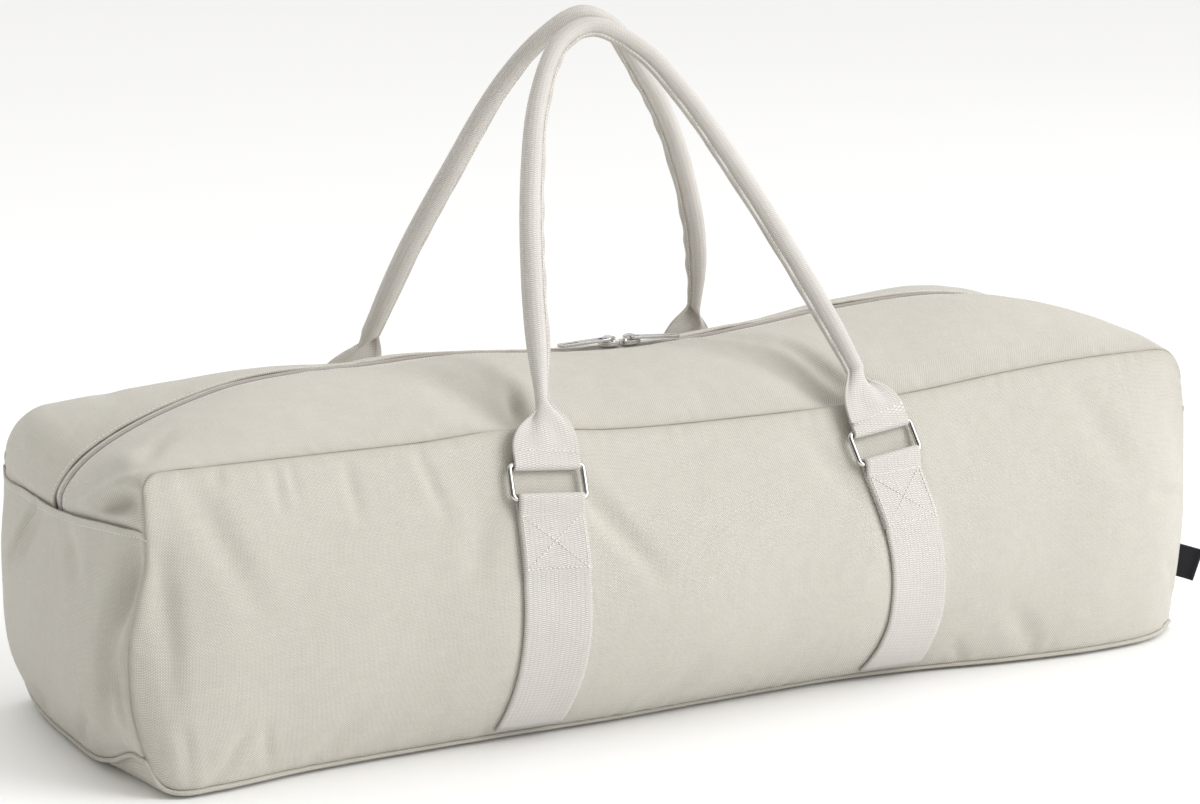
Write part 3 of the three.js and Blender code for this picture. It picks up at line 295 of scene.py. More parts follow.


# %% [markdown]
# ## From a grid of points to a mesh
#
# Every cloth piece here is a grid of points. The helper below turns it into a mesh with a UV map in
# metres, so that a weave keeps its true size wherever the cloth goes, and with a darkening value on
# each point. The materials read that value to darken the cloth near its seams and edges: painted
# shade, with some soiling. Solidify gives the sheet its thickness.

# %% Grid helpers
def unit(vectors):
    return vectors / np.maximum(np.linalg.norm(vectors, axis=-1, keepdims=True), 1e-9)


def grid_normals(points, facing):
    """Unit normals of a grid, turned so that the middle one looks along facing."""
    normals = unit(np.cross(np.gradient(points, axis=0), np.gradient(points, axis=1)))
    middle = normals[normals.shape[0] // 2, normals.shape[1] // 2]
    return normals if middle @ np.asarray(facing, float) > 0 else -normals


def graded(total, step, low=(), high=()):
    """Places from 0 to total, with given ones near each end and even steps between."""
    low, high = list(low) or [0], list(high) or [0]
    count = max(1, round((total - low[-1] - high[-1]) / step))
    middle = np.linspace(low[-1], total - high[-1], count + 1)
    return np.concatenate([low[:-1], middle, [total - d for d in high[-2::-1]]])


def lengths_along(points, axis):
    steps = np.linalg.norm(np.diff(points, axis=axis), axis=-1)
    start = np.zeros_like(np.take(steps, [0], axis=axis))
    return np.cumsum(np.concatenate([start, steps], axis=axis), axis=axis)


def run_along(points, column):
    """Length along a ribbon of points, measured in one of its columns."""
    return lengths_along(points, 0)[:, [column]] + 0 * points[..., 0]


def grid_piece(name, points, finish, uv=None, facing=None, loop_i=False, loop_j=False, shade_and_wear=None, caps=False):
    """Mesh object from a grid of points in millimetres. A looped direction joins its last row to its first."""
    rows, columns = points.shape[:2]
    closed = points
    if loop_i:
        closed = np.concatenate([closed, closed[:1]], axis=0)
    if loop_j:
        closed = np.concatenate([closed, closed[:, :1]], axis=1)
    if uv is None:
        uv = np.stack([lengths_along(closed, 0).mean(1, keepdims=True) + 0 * closed[..., 0],
                       lengths_along(closed, 1).mean(0, keepdims=True) + 0 * closed[..., 0]], -1)
    i, j = np.meshgrid(np.arange(closed.shape[0] - 1), np.arange(closed.shape[1] - 1), indexing="ij")
    corners = [(i, j), (i + 1, j), (i + 1, j + 1), (i, j + 1)]
    faces = np.stack([(a % rows) * columns + b % columns for a, b in corners], -1).reshape(-1, 4)
    face_uv = np.stack([uv[a, b] for a, b in corners], -2).reshape(-1, 2) * MM
    flat = points.reshape(-1, 3)
    across = np.cross(flat[faces[:, 2]] - flat[faces[:, 0]], flat[faces[:, 3]] - flat[faces[:, 1]])
    if facing is None:
        turned = (across * (flat[faces].mean(1) - flat.mean(0))).sum() < 0
    else:
        turned = (across.reshape(*i.shape, 3)[i.shape[0] // 2, i.shape[1] // 2] @ np.asarray(facing, float)) < 0
    polygons = faces.tolist()
    if caps:
        ring = list(range(columns))
        polygons += [ring[::-1], [(rows - 1) * columns + k for k in ring]]
        face_uv = np.vstack([face_uv, np.zeros((2 * columns, 2))])
    mesh = bpy.data.meshes.new(name)
    mesh.from_pydata((flat * MM).tolist(), [], polygons)
    mesh.uv_layers.new(name="UVMap").data.foreach_set("uv", face_uv.ravel())
    # each point's darkening for the materials: painted shade beside seams and edges, with wear
    worn_and_shaded = mesh.attributes.new("shade_and_wear", "FLOAT", "POINT")
    worn_and_shaded.data.foreach_set("value", (np.zeros(len(flat)) if shade_and_wear is None else shade_and_wear.ravel()).astype(float))
    if turned:
        mesh.flip_normals()
    mesh.shade_smooth()
    mesh.materials.append(finish)
    return add_object(name, mesh)


def give_wall(piece, thickness, offset=-1.0):
    wall = piece.modifiers.new("wall", "SOLIDIFY")
    wall.thickness = thickness * MM
    wall.offset = offset
    wall.use_even_offset = False
    return piece


def settle(piece, slot, *nodes, body="bag"):
    """Gives a finished piece its body and hides the CAD nodes that it stands for. The slot is not used."""
    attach(piece, body)
    if nodes:
        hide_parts(*nodes)
    print(piece.name, "on", body, "-", len(piece.data.polygons), "faces")


# %% [markdown]
# ## Finishes: a short way to write a material
#
# A material in Blender is a small network of nodes. Writing each node out takes many lines, so this
# helper adds a node, sets it and feeds its inputs in one call. Whatever is the same all over a
# surface, such as sheen, is set straight on the Principled shader.

# %% Finish helper
def feed(tree, socket, value):
    """Links a socket to an output of another node, or sets it."""
    if isinstance(value, bpy.types.NodeSocket):
        tree.links.new(value, socket)
    else:
        socket.default_value = value


def add_node(tree, kind, inputs, **settings):
    made = tree.nodes.new(kind)
    for key, value in settings.items():
        setattr(made, key, value)
    for socket, value in inputs.items():
        feed(tree, made.inputs[socket], value)
    return made.outputs


class Finish:
    def __init__(self, name, **skin):
        self.material = bpy.data.materials.new(name)
        self.material.use_nodes = True
        self.tree = self.material.node_tree
        self.set(**skin)

    def set(self, **skin):
        """Sets or feeds sockets of the shader, and gives back the material."""
        shader = self.tree.nodes["Principled BSDF"]
        for socket, value in skin.items():
            feed(self.tree, shader.inputs[socket.replace("_", " ")], value)
        return self.material

    def node(self, kind, inputs, out=0, **settings):
        return add_node(self.tree, "ShaderNode" + kind, inputs, **settings)[out]

    def math(self, operation, a, b=0.0):
        return self.node("Math", {0: a, 1: b}, operation=operation)

    def times(self, a, b):
        return self.math("MULTIPLY", a, b)

    def plus(self, a, b):
        return self.math("ADD", a, b)

    def wave(self, value, pitch, shift=None):
        """Sine of a value in metres, half a turn every pitch in millimetres."""
        turn = self.times(value, math.pi / (pitch * MM))
        return self.math("SINE", turn if shift is None else self.plus(turn, shift))

    def ribs(self, value, pitch, shift=None):
        return self.math("ABSOLUTE", self.wave(value, pitch, shift))

    def uv(self):
        """U and V of the piece's own map, in metres."""
        return add_node(self.tree, "ShaderNodeSeparateXYZ", {0: self.node("UVMap", {})})[:2]

    def noise(self, vector, scale, detail=2.0, rough=0.5):
        return self.node("TexNoise", {"Vector": vector, "Scale": scale, "Detail": detail, "Roughness": rough})

    def mottle(self, scale, detail=2.0, rough=0.5):
        """Noise through the whole piece: scale is in lumps a metre."""
        return self.noise(self.node("TexCoord", {}, out=3), scale, detail, rough)

    def stretched(self, u, v, along, across):
        """Noise in streaks: along and across are repeats a metre in U and V."""
        vector = self.node("CombineXYZ", {0: self.times(u, along), 1: self.times(v, across)})
        return self.noise(vector, 1.0, 1.0)

    def spread(self, value, low, high):
        """Takes a value that runs from 0 to 1 and gives it new ends."""
        return self.node("MapRange", {"Value": value, "To Min": low, "To Max": high})

    def blend(self, factor, a, b):
        return self.node("Mix", {0: factor, 6: a, 7: b}, out=2, data_type="RGBA")

    def shaded_and_soiled(self, colour, amount, shade_and_soil):
        """Blends towards a darker colour by the value that each point of the piece carries: painted shade beside seams
        and edges, with soiling and wear.
        """
        worn_and_shaded = self.node("Attribute", {}, out=2, attribute_name="shade_and_wear")
        return self.blend(self.times(worn_and_shaded, amount), colour, shade_and_soil)

    def darken(self, colour, factor):
        """Colour times a grey factor."""
        grey = self.node("CombineColor", {0: factor, 1: factor, 2: factor})
        return self.node("Mix", {0: 1.0, 6: colour, 7: grey}, out=2, data_type="RGBA", blend_type="MULTIPLY")

    def bump(self, height, distance, strength, normal=None):
        inputs = {"Height": height, "Distance": distance * MM, "Strength": strength}
        if normal is not None:
            inputs["Normal"] = normal
        return self.node("Bump", inputs)


# %% [markdown]
# ## Canvas
#
# The bag's cloth is a heavy plain weave in undyed cotton: each thread passes over one and under the
# next, so the surface shows a fine checker of thread tops. An image of cloth would be the quick
# way, but it repeats and blurs. Here two sine waves at the thread spacing make the checker, streaks
# of noise make thick and thin threads, and slow noise shifts the colour a little over the whole
# bag, as unbleached cotton does.

# %% Canvas
THREAD_PITCH = 0.82


def canvas_finish(name, light, dark, shade_and_soil):
    finish = Finish(name, Roughness=0.88, Sheen_Weight=0.18, Sheen_Roughness=0.5, Specular_IOR_Level=0.25)
    u, v = finish.uv()
    checker = finish.times(finish.wave(u, THREAD_PITCH), finish.wave(v, THREAD_PITCH))
    slubs = finish.plus(finish.stretched(u, v, 55.0, 1100.0), finish.stretched(v, u, 55.0, 1100.0))
    height = finish.plus(finish.times(finish.math("ABSOLUTE", checker), 0.5), finish.times(checker, 0.3))
    height = finish.plus(height, finish.times(slubs, 0.13))
    fine = finish.mottle(90.0, 3.0)
    colour = finish.blend(finish.spread(finish.mottle(7.0, 3.0), 0.0, 1.0), dark, light)
    shade = finish.plus(finish.spread(height, 0.66, 1.52), finish.spread(fine, -0.035, 0.035))
    colour = finish.darken(colour, shade)
    # blends towards the darker colour beside seams: painted shade, with some soiling
    return finish.set(
        Base_Color=finish.shaded_and_soiled(colour, 0.45, shade_and_soil), Roughness=finish.spread(fine, 0.82, 0.94),
        Normal=finish.bump(height, 0.4, 0.8, finish.bump(finish.mottle(38.0, 2.0), 1.2, 0.12)),
    )


# the darker colour stands for both painted seam shade and soil
canvas = canvas_finish(
    "canvas", light=(0.645, 0.615, 0.555, 1), dark=(0.615, 0.588, 0.528, 1), shade_and_soil=(0.33, 0.29, 0.23, 1)
)
print("canvas threads every", THREAD_PITCH, "mm")

# %% [markdown]
# ## Creases
#
# A stuffed canvas bag is smooth where the cloth is tight, and creased where it is pulled or where
# it is gathered into a seam. A cloth simulation would make such folds, but not these ones. So each
# crease is written down: where it starts and ends, how wide it is and how deep. Its cross profile
# is a soft valley with a low shoulder on each side, because the cloth that a fold takes in has to
# go somewhere.

# %% Crease helpers
def creases(points, rows, axes):
    """Height change from creases, each (start, end, width, depth), measured in the plane of the given axes."""
    place = points[..., axes]
    total = np.zeros(points.shape[:-1])
    for start, end, width, depth in rows:
        a, b = np.array(start, float), np.array(end, float)
        run = b - a
        t = ((place - a) @ run) / (run @ run)
        along = np.clip(t, 0, 1)
        off = np.linalg.norm(place - a - along[..., None] * run, axis=-1) / width
        fade = 0.35 + 0.65 * np.sin(np.pi * along)
        total -= depth * fade * (1 - 0.7 * off**2) * np.exp(-(off**2) / 1.3)
    return total


def ripples(along, distance, seed, size, wave=14.0, reach=4.0):
    """Small gathers beside a seam, strongest at reach from it."""
    chance = np.random.default_rng(seed)
    total = np.zeros_like(along)
    for share in (0.8, 1.0, 1.37):
        total = total + np.sin(2 * np.pi * (along / (wave * share) + chance.random()))
    slow = 0.55 + 0.45 * np.sin(2 * np.pi * (along / (wave * 6.3) + chance.random()))
    q = distance / reach
    return size * slow * total / 3 * q * np.exp(1 - q)


def swells(a, b, seed, size, wave):
    """Broad soft unevenness of a filled panel."""
    chance = np.random.default_rng(seed)
    total = 0
    for _ in range(5):
        turn, phase, share = chance.random(3) * (2 * np.pi, 2 * np.pi, 0.8) + (0, 0, 0.7)
        total = total + np.sin(2 * np.pi * (a * np.cos(turn) + b * np.sin(turn)) / (wave * share) + phase)
    return size * total / 3


def inward(points):
    """Unit vectors from points to the bag's inside."""
    reach = HALF - BASE_DEPTH / 3
    core = np.stack([np.clip(points[..., 0], -reach, reach), 0 * points[..., 1],
                     0 * points[..., 2] + SEAM_HEIGHT / 2], -1)
    return unit(core - points)


SEAM_ROLL, ROLL_WIDTH = 1.3, 3.2  # how far the cloth turns in at a seam, and how wide
# how far from a seam the painted shade and soiling reach
SHADE_AND_SOIL_REACH = 2.2


def shade_and_soil(distance, reach=SHADE_AND_SOIL_REACH):
    """Painted shade and soiling that fade with the distance from a seam or an edge."""
    return np.exp(-distance / reach)


def rolled(points, distance):
    """Turns the cloth in towards a seam, by the same vector on both of the seam's pieces."""
    share = (1 - np.clip(distance / ROLL_WIDTH, 0, 1)) ** 2
    return points + inward(points) * (SEAM_ROLL * share)[..., None]


def canvas_piece(name, points, facing, uv, shade_and_wear):
    """A canvas wall for a CAD solid, with the lengths along and across its cloth as its map."""
    piece = grid_piece("canvas_" + name, points, canvas, np.stack(uv, -1), facing=facing, shade_and_wear=shade_and_wear)
    settle(give_wall(piece, CANVAS), "canvas", name)


# %% [markdown]
# ## Straps' places
#
# Four webbing straps run up the long panels. The cloth under them is pulled flat, so their places
# are needed before the panels are made.

# %% Strap places
WEBBING = 47
STRAP_SPACING = 267
STRAP_PULL = 7  # width beside a strap in which its pull on the cloth fades
strap_places = {
    FRONT: table(
        "at left right",
        (0, -1.13, 1), (0.25, -1.08, 1.05), (0.5, -1.05, 1.04), (0.8, -1.02, 0.965), (1, -1.01, 0.945),
    ),
    BACK: table("at left right", (0, -1.12, 0.95), (0.5, -1.13, 0.97), (1, -1.14, 0.97)),
}


def strap_x(side, hand, v):
    return STRAP_SPACING / 2 * read(strap_places[side], hand, v)


def under_straps(side, points, v):
    """1 under a strap and 0 away from it."""
    cover = 0
    for hand in ("left", "right"):
        off = np.abs(points[..., 0] - strap_x(side, hand, v)) - WEBBING / 2
        cover = np.maximum(cover, ease(1 - off / STRAP_PULL) * ease((0.9 - v) / 0.08))
    return cover


# %% [markdown]
# ## Long panels
#
# The front and back panels are made from the same surface function. The grid is fine, about 3 mm,
# and finer still beside the seams, so that small gathers are real shape and catch the light from
# every side.

# %% Long panels
EDGE_STEPS = (0, 0.7, 1.5, 2.6, 4, 6, 8.5)
CORNER_STEPS = 12
MIDDLE_COLUMNS = 250
CREASE_DEPTH = 1.5
CREASE_FADE = 4  # distance from a seam at which creases have their depth
PANEL_CALM, END_CALM, GUSSET_CALM = 9, 8, 12  # the same for broad swells
STRAP_DENT = 0.25
panel_rows = graded(SEAM_HEIGHT, 3.2, EDGE_STEPS, EDGE_STEPS) / SEAM_HEIGHT


def panel_columns(side):
    """Shares along a long panel, closer together round its upper corners."""
    left, right = CORNER_RADII[side]
    arc = 1 - np.cos(np.linspace(0, np.pi / 2, CORNER_STEPS + 1))
    middle = np.linspace(left, LENGTH - right, MIDDLE_COLUMNS + 1)[1:-1]
    return np.concatenate([arc * left, middle, LENGTH - arc[::-1] * right]) / LENGTH


columns = {side: panel_columns(side) for side in (FRONT, BACK)}

panel_creases = {
    FRONT: [
        ((-116, 170), (-66, 106), 9, 2.2), ((-372, 192), (-338, 112), 11, 1.7), ((-356, 200), (-354, 188), 5, 1.2),
        ((-318, 200), (-315, 168), 4.5, 1.0), ((-306, 199), (-304, 172), 4, 0.7), ((-270, 199), (-265, 158), 4.5, 1.0),
        ((-220, 197), (-208, 158), 5, 1.2), ((-393, 150), (-394, 60), 8, 1.8), ((-389, 48), (-384, 16), 4, 1.1),
        ((-366, 12), (-349, 36), 5, 1.6), ((-336, 40), (-333, 14), 4.5, 1.3), ((-300, 12), (-270, 40), 9, 1.4),
        ((150, 26), (160, 8), 5, 1.6), ((182, 24), (194, 6), 5, 1.3), ((226, 44), (252, 8), 10, 1.8),
        ((361, 110), (404, 101), 5, 2.2), ((372, 60), (398, 24), 7, 1.8), ((300, 190), (340, 120), 16, 1.2),
        ((70, 176), (104, 134), 11, 1.5), ((-180, 160), (-196, 112), 10, 1.2), ((-60, 14), (-30, 42), 10, 1.0),
    ],
    BACK: [
        ((-120, 168), (-90, 120), 8, 2.0), ((-372, 190), (-340, 110), 11, 2.4), ((-300, 198), (-292, 160), 5, 1.1),
        ((-210, 197), (-198, 160), 5, 1.2), ((-60, 192), (-56, 165), 5, 0.8), ((60, 194), (66, 162), 5, 0.9),
        ((188, 160), (214, 110), 8, 1.8), ((300, 200), (310, 168), 5, 1.0), ((372, 186), (344, 120), 10, 2.2),
        ((-366, 12), (-340, 44), 7, 1.8), ((-220, 10), (-206, 34), 5, 1.2), ((-20, 10), (10, 38), 9, 1.2),
        ((160, 10), (176, 36), 6, 1.4), ((300, 10), (330, 44), 8, 1.5), ((384, 20), (372, 60), 6, 1.8),
    ],
}


def long_panel(side, name):
    u, v = np.meshgrid(columns[side], panel_rows, indexing="ij")
    points = panel_point(side, u, v)
    normals = grid_normals(points, (0, side, 0))
    across, up = u * LENGTH, v * SEAM_HEIGHT
    tall = top_seam_z(side, u) - base_seam_z(side, u)
    lean = np.gradient(top_seam_z(side, u[:, 0]), u[:, 0] * LENGTH)[:, None]
    to_top = (1 - v) * tall / np.sqrt(1 + lean**2)
    to_base = v * tall
    to_seam = np.minimum.reduce([to_top, to_base, across, LENGTH - across])
    calm = 1 - bell(to_seam, PANEL_CALM)
    relief = CREASE_DEPTH * creases(points, panel_creases[side], [0, 2]) * (1 - bell(to_seam, CREASE_FADE))
    for seed, size, wave in ((20, 0.8, 95), (30, 0.12, 31)):
        relief += calm * swells(points[..., 0], points[..., 2], seed + side, size, wave)
    relief += ripples(across, to_top, 2 + side, 0.5) + ripples(across, to_base, 5 + side, 0.75, 17, 5)
    relief += ripples(up, across, 8 + side, 0.5) + ripples(up, LENGTH - across, 11 + side, 0.5)
    relief = mix(relief, -STRAP_DENT, under_straps(side, points, v))
    points = rolled(points + normals * relief[..., None], to_seam)
    # darker beside the seams: painted shade with soiling
    canvas_piece(name, points, (0, side, 0), (across, up), shade_and_soil(to_seam))


long_panel(FRONT, "front_panel")
long_panel(BACK, "back_panel")

# %% [markdown]
# ## End panels and base
#
# An end panel stops at a turned and topstitched hem. The end of the zip is tucked behind it. The
# base is one flat cloth whose edges turn up into the seam, and at the left front corner the seam
# pulls it up in a small triangle.

# %% End panels
END_CREASE_DEPTH = 2.5
HEM_STITCH = 5.0  # from the hem's edge to its row of stitches
HEM_FOLD, STITCH_DENT = 0.5, 0.35  # how far the folded hem stands out, and its stitches pull in
end_creases = {
    -1: [
        ((28, 150), (63, 113), 4.5, -1.8), ((38, 152), (74, 112), 6, 2.2), ((-112, 156), (-98, 96), 13, 4.6),
        ((-98, 96), (-86, 46), 9, 2.8), ((-112, 88), (-115, 52), 3, -1.8), ((-105, 92), (-108, 48), 3.5, 2.0),
        ((-60, 40), (-30, 16), 7, 1.4), ((20, 30), (60, 14), 9, 1.2), ((-20, 150), (-50, 116), 10, 1.0),
        ((108, 60), (96, 20), 7, 1.3),
    ],
    1: [
        ((-70, 150), (-96, 100), 9, 2.0), ((60, 150), (92, 110), 9, 1.6), ((-60, 20), (-30, 50), 8, 1.3),
        ((90, 30), (70, 60), 7, 1.2),
    ],
}
across_end = graded(BASE_DEPTH, 3.0, EDGE_STEPS, EDGE_STEPS) / BASE_DEPTH
end_rows = graded(HEM_HEIGHT, 3.2, EDGE_STEPS, (0, 0.6, 1.5, 3, 5, 6.5, 9)) / SEAM_HEIGHT


def end_panel(hand, name):
    w, v = np.meshgrid(across_end, end_rows, indexing="ij")
    points = end_point(hand, w, v)
    normals = grid_normals(points, (hand, 0, 0))
    across, up = w * BASE_DEPTH, v * SEAM_HEIGHT
    to_hem = HEM_HEIGHT - up
    to_seam = np.minimum.reduce([across, BASE_DEPTH - across, up])
    calm = 1 - bell(to_seam, END_CALM)
    relief = END_CREASE_DEPTH * calm * creases(points, end_creases[hand], [1, 2])
    relief += calm * swells(points[..., 1], points[..., 2], 40 + hand, 0.8, 80)
    relief += ripples(across, up, 14 + hand, 0.7, 16, 5) + ripples(up, across, 17 + hand, 0.5)
    relief += ripples(up, BASE_DEPTH - across, 20 + hand, 0.5) + ripples(across, to_hem - 3, 23 + hand, 0.3, 12, 5)
    relief += HEM_FOLD * ease((HEM_STITCH + 0.5 - to_hem) / 1.2) - STITCH_DENT * bell(to_hem - HEM_STITCH, 0.9)
    points = rolled(points + normals * relief[..., None], to_seam)
    # darker beside the seams and the hem's edge: painted shade with soiling
    canvas_piece(name, points, (hand, 0, 0), (across, up), shade_and_soil(to_seam) + 0.25 * shade_and_soil(to_hem, 1.5))
    row = int(np.argmin(np.abs(HEM_HEIGHT - end_rows * SEAM_HEIGHT - HEM_STITCH)))
    return points[:, row], normals[:, row]


hem_lines = [end_panel(-1, "end_panel_left"), end_panel(1, "end_panel_right")]


# %% Base panel
def base_panel():
    across = graded(BASE_DEPTH, 4.0, EDGE_STEPS, EDGE_STEPS) / BASE_DEPTH
    front_u, w = np.meshgrid(columns[FRONT], across, indexing="ij")
    back_u = np.meshgrid(columns[BACK], across, indexing="ij")[0]
    points = base_point(front_u, back_u, w)
    u = mix(front_u, back_u, w)
    to_seam = np.minimum.reduce([u * LENGTH, (1 - u) * LENGTH, w * BASE_DEPTH, (1 - w) * BASE_DEPTH])
    points = rolled(points, to_seam)
    points[..., 2] = np.maximum(points[..., 2], 0)
    # darker beside the seams: painted shade with soiling
    canvas_piece("base_panel", points, (0, 0, -1), (u * LENGTH, w * BASE_DEPTH), shade_and_soil(to_seam, 2.5))


base_panel()

# %% [markdown]
# ## The zip's line
#
# The zip climbs from one hem over the top to the other, in two soft humps with a saddle between
# them where the handles pull. A centripetal Catmull-Rom curve passes through a few chosen points
# without loops or overshoot.

# %% Zip line
class Path:
    """A smooth line through points in millimetres, read by the distance along it."""

    def __init__(self, points, samples=40):
        p = np.array(points, float)
        p = np.vstack([2 * p[0] - p[1], p, 2 * p[-1] - p[-2]])
        dense = []
        for k in range(1, len(p) - 2):
            x0, x1, x2, x3 = p[k - 1:k + 3]
            d0, d1, d2 = (np.sqrt(np.linalg.norm(b - a)) for a, b in ((x0, x1), (x1, x2), (x2, x3)))
            t1 = ((x1 - x0) / d0 - (x2 - x0) / (d0 + d1) + (x2 - x1) / d1) * d1
            t2 = ((x2 - x1) / d1 - (x3 - x1) / (d1 + d2) + (x3 - x2) / d2) * d1
            t = np.linspace(0, 1, samples, endpoint=False)[:, None]
            dense.append(x1 + t1 * t + (3 * (x2 - x1) - 2 * t1 - t2) * t**2 + (2 * (x1 - x2) + t1 + t2) * t**3)
        self.points = np.vstack([*dense, p[-2:-1]])
        self.along = np.concatenate([[0], np.cumsum(np.linalg.norm(np.diff(self.points, axis=0), axis=1))])
        self.length = self.along[-1]

    def at(self, distance):
        return np.stack([np.interp(distance, self.along, self.points[:, k]) for k in range(3)], -1)

    def tangent(self, distance):
        distance = np.asarray(distance, float)
        return unit(self.at(np.minimum(distance + 1, self.length)) - self.at(np.maximum(distance - 1, 0)))


zip_rows = (
    (-1.03, 0.07), (-1.012, 0.23), (-0.985, 0.38), (-0.945, 0.53), (-0.895, 0.67), (-0.83, 0.81), (-0.74, 0.95),
    (-0.63, 1.02), (-0.5, 1.03), (-0.352, 1.06), (-0.142, 0.98), (0.115, 0.975), (0.262, 1.05), (0.45, 1.17),
    (0.68, 1.22), (0.8, 1.11), (0.885, 0.9), (0.955, 0.6), (1, 0.3), (1.02, 0.12),
)


def across_at(hand, y):
    """Share of the way across a hem, front to back, at which it has a given Y."""
    near, far = end_point(hand, 0, HEM_ROW)[1], end_point(hand, 1, HEM_ROW)[1]
    return (y - near) / (far - near)


def at_hem(hand):
    x, _, z = end_point(hand, across_at(hand, 0), HEM_ROW)
    return (x, 0, z)


zip_path = Path([
    at_hem(-1),
    *[(along * HALF, 0, mix(HEM_HEIGHT, SEAM_HEIGHT + ZIP_RISE, up)) for along, up in zip_rows],
    at_hem(1),
])
print("zip length, mm:", round(zip_path.length))

# %% [markdown]
# ## Gussets
#
# Two long cloths close the top of the bag, one on each side of the zip. Each starts behind the left
# hem, climbs the corner, runs along the top seam and goes down behind the right hem. Between its
# seam and the zip it swells like a soft roll, with a hollow where each handle leans on it.

# %% Gusset tables
gusset_swell = table(
    "at front back",
    (0, 0.28, 0.28), (0.06, 0.8, 0.7), (0.15, 0.95, 0.5), (0.35, 0.85, 0.32), (0.5, 1, 0.25), (0.65, 0.85, 0.4),
    (0.85, 1, 0.9), (0.94, 0.75, 0.85), (1, 0.28, 0.28),
)
gusset_hollows = ((-0.36, -0.16, 0.75, 0.06, 0.55), (0.27, -0.12, 0.75, 0.06, 0.55))
gusset_creases = {
    FRONT: [
        ((-402, -109, 197), (-414, -38, 165), 6, -5.0), ((-405, -108, 184), (-411, -68, 170), 8, 9.0),
        ((-403, -104, 197), (-401, -114, 176), 3.5, -1.6), ((-371, -74, 214), (-400, -102, 201), 8, 2.4),
        ((-150, -40, 228), (-136, -92, 215), 13, 4.8), ((-133, -78, 223), (-142, -110, 204), 6.5, 6.5),
        ((62, -14, 233), (100, -58, 226), 13, 2.6), ((98, -55, 227), (119, -104, 200), 6.5, 4.5),
        ((404, -104, 196), (396, -60, 206), 8, 2.6), ((-300, -100, 204), (-312, -60, 216), 10, 1.2),
        ((300, -104, 214), (318, -60, 228), 12, 1.3), ((0, -108, 200), (14, -60, 212), 10, 0.9),
    ],
    BACK: [
        ((-150, 108, 204), (-196, 40, 226), 10, 2.4), ((126, 108, 206), (90, 40, 228), 10, 2.0),
        ((-400, 108, 186), (-410, 60, 170), 9, 3.0), ((400, 108, 188), (410, 60, 172), 9, 3.0),
        ((-340, 100, 206), (-356, 50, 212), 10, 1.5), ((330, 108, 212), (344, 60, 222), 11, 1.5),
    ],
}


def zip_frame(distance):
    """Points of the zip line, with the direction that faces out of the bag there."""
    tangent = zip_path.tangent(distance)
    out = np.stack([-tangent[:, 2], 0 * distance, tangent[:, 0]], -1)
    return zip_path.at(distance), out


# %% Gusset stations
SIDE_ROWS = 32
TAIL_ROWS = 5
rise_rows = np.linspace(HEM_ROW, 1, SIDE_ROWS + 1)
tail_rows = np.linspace(HEM_ROW - HEM_LAP / SEAM_HEIGHT, HEM_ROW, TAIL_ROWS + 1)[:-1]


def seam_line(side):
    """A gusset's outer seam: up the left corner from the hem, along the top and down the right corner."""
    return np.vstack([
        panel_point(side, 0.0, rise_rows), panel_point(side, columns[side][1:-1], 1.0),
        panel_point(side, 1.0, rise_rows[::-1]),
    ])


front_seam = seam_line(FRONT)
seam_run = lengths_along(front_seam, 0)
seam_share = seam_run / seam_run[-1]
zip_points, zip_out = zip_frame(seam_share * zip_path.length)
print("gusset stations:", len(front_seam))


# %% Gussets
ZIP_STITCH = 2.6  # from the folded edge beside the zip to its row of stitches
ZIP_STITCH_DENT, ZIP_FOLD = 0.25, 0.35  # how far the stitches and the folded edge turn in
GUSSET_WIDTH = 120


def tucked_rows(hand, side, v, w):
    """Cloth behind an end panel, from its corner (w = 0) to beside the zip (w = 1)."""
    corner = 0.0 if side == FRONT else 1.0
    share = mix(corner, across_at(hand, side * ZIP_OPENING / 2), w)
    face = end_point(hand, share, v)
    return face + unit(mix(inward(face), np.array((-hand, 0.0, 0.0)), ease(w * 8)[..., None])) * LAYER


